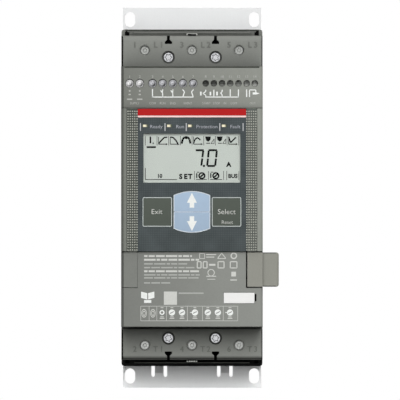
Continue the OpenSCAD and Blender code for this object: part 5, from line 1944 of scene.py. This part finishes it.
@dataclass
class Studio:
    """Floor, light and camera."""

    floor_z: float = -0.1225
    floor_r: float = 2.5
    floor_sides: int = 96
    # Colours of the floor to the camera, and to the light that it throws back.
    floor_seen: tuple[Colour, Colour] = ((242, 242, 241), (248, 248, 247))
    floor_bounce: Colour = (140, 140, 140)
    # Half the object's width and depth where it stands, and how far its shadow is seen.
    stand: Span = (0.045, 0.093)
    shadow_reach: float = 0.05
    # Share of white beside the object and beyond its shadow.
    cleared: Span = (0.72, 1.0)
    # How flat a look is where the shadow fades and where none is left.
    grazing: Span = (0.9, 0.97)
    lamps: tuple[Lamp, ...] = (
        Lamp("key", (0.1, -2.5, 0.71), (0.0, -0.14, 0.0), 1.24, 53.5),
        Lamp("top", (0.0, -0.3, 1.4), (0.0, -0.1, 0.0), 0.8, 2.0),
        Lamp("rear_-1", (-1.7, 1.2, 0.7), (0.0, -0.09, 0.0), 0.9, 36.0),
        Lamp("rear_1", (1.7, 1.2, 0.7), (0.0, -0.09, 0.0), 0.9, 36.0),
    )
    # Strength of the sky from below to above, and of what metal mirrors of it, brightest one way.
    sky: Span = (0.03, 0.2)
    sheen: Span = (0.06, 1.15)
    sheen_way: Place = (-0.6, -0.5, 0.62)
    # Lights only the mounting plate.
    low: Lamp = Lamp("low", (0.0, -0.6, -0.086), (0.0, 0.0, -0.115), 0.068, 2.3)
    # How far the camera stands from the depth that sets the scale, and the picture's width there.
    distance: float = 11.8
    scale_depth: float = 0.150
    frame_w: float = 0.25487
    sensor: float = 36.0
    aim: Point = (0.00513, -0.00143)

    def build(self) -> None:
        """Sets the stage."""
        bpy.context.scene.view_settings.view_transform = "Standard"
        self.floor()
        self.world()
        for lamp in self.lamps:
            lamp.build()
        lit = bpy.data.collections.new("lit_from_below")
        lit.objects.link(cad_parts["mounting_plate"])
        self.low.build().light_linking.receiver_collection = lit
        self.camera()

    def floor(self) -> None:
        """Adds the pale floor."""
        bm = bmesh.new()
        bmesh.ops.create_circle(bm, cap_ends=True, segments=self.floor_sides, radius=self.floor_r,
                                matrix=Matrix.Translation((0, 0, self.floor_z)))
        mesh = bpy.data.meshes.new("floor")
        bm.to_mesh(mesh)
        bm.free()
        floor = bpy.data.objects.new("floor", mesh)
        bpy.context.scene.collection.objects.link(floor)
        mesh.materials.append(self.floor_material())
        floor.visible_shadow = False
        floor.visible_glossy = False

    def floor_material(self) -> bpy.types.Material:
        """White to the camera, with a shadow near the object, none at a grazing look, clear from below.

        Returns:
            The material.
        """
        material = bpy.data.materials.new("finish_floor")
        material.use_nodes = True
        tree = Tree(material.node_tree)
        shader = material.node_tree.nodes["Principled BSDF"]
        half_width, half_depth = self.stand
        axes = tree.axes()
        aside = tree.math("SUBTRACT", tree.math("ABSOLUTE", axes["X"]), half_width)
        middle = tree.math("ADD", axes["Y"], half_depth)
        ahead = tree.math("SUBTRACT", tree.math("ABSOLUTE", middle), half_depth)
        far = tree.math("MAXIMUM", aside, ahead)
        grain = tree.noise(tree.place(), 40.0, 4.0)
        ray = tree.add("LightPath").outputs["Is Camera Ray"]
        pale = tree.mix(grain, *(linear(colour) for colour in self.floor_seen))
        tree.feed(shader, {"Base Color": tree.mix(ray, linear(self.floor_bounce), pale), "Roughness": 0.8,
                           "Specular IOR Level": 0.1})
        white = tree.add("Emission", {"Color": WHITE_TONE, "Strength": 1.0}).outputs[0]
        grazed = tree.remap(tree.add("LayerWeight").outputs["Facing"], self.grazing)
        cleared = tree.math("MAXIMUM", tree.remap(far, (0.0, self.shadow_reach), self.cleared), grazed)
        share = tree.product(cleared, ray)
        joined = tree.add("MixShader", {0: share, 1: shader.outputs[0], 2: white}).outputs[0]
        under = tree.product(tree.add("NewGeometry").outputs["Backfacing"], ray)
        clear = tree.add("BsdfTransparent").outputs[0]
        joined = tree.add("MixShader", {0: under, 1: joined, 2: clear}).outputs[0]
        tree.feed(material.node_tree.nodes["Material Output"], {"Surface": joined})
        return material

    def world(self) -> None:
        """White to the eye, weaker and mostly from above as light."""
        world = bpy.data.worlds.new("studio")
        world.use_nodes = True
        bpy.context.scene.world = world
        tree = Tree(world.node_tree)
        path = tree.add("LightPath").outputs
        seen = tree.math("MAXIMUM", path["Is Camera Ray"], path["Is Transmission Ray"])
        way = tree.add("TexCoord").outputs["Object"]
        up = tree.split(way)["Z"]
        side = tree.dot(way, self.sheen_way)
        sheen = tree.product(tree.remap(side, (-0.2, 0.75), self.sheen), path["Is Glossy Ray"])
        sky = tree.remap(up, (-0.3, 0.8), self.sky)
        strength = tree.math("MAXIMUM", tree.math("MAXIMUM", seen, sheen), sky)
        tree.feed(world.node_tree.nodes["Background"], {"Color": WHITE_TONE, "Strength": strength})

    def camera(self) -> None:
        """Adds the camera, square-on and far away."""
        data = bpy.data.cameras.new("camera")
        data.sensor_width = self.sensor
        data.lens = self.sensor * self.distance / self.frame_w
        data.clip_end = self.distance * 3
        camera = bpy.data.objects.new("camera", data)
        camera.location = (self.aim[0], -self.scale_depth - self.distance, self.aim[1])
        camera.rotation_euler = (math.pi / 2, 0, 0)
        bpy.context.scene.collection.objects.link(camera)
        bpy.context.scene.camera = camera


def main() -> None:
    """Builds the studio and the parts in order."""
    logging.basicConfig(level=logging.INFO, format="%(message)s")
    for part in (Studio(), MountingPlate(), CoolingUnit(), PowerTerminals(), PowerStage(), ControlTerminals(),
                 DisplayPanel(), Keypad(), LabelSection(), BusConnector()):
        LOG.info("building %s", type(part).__name__)
        part.build()


if __name__ == "__main__":
    main()
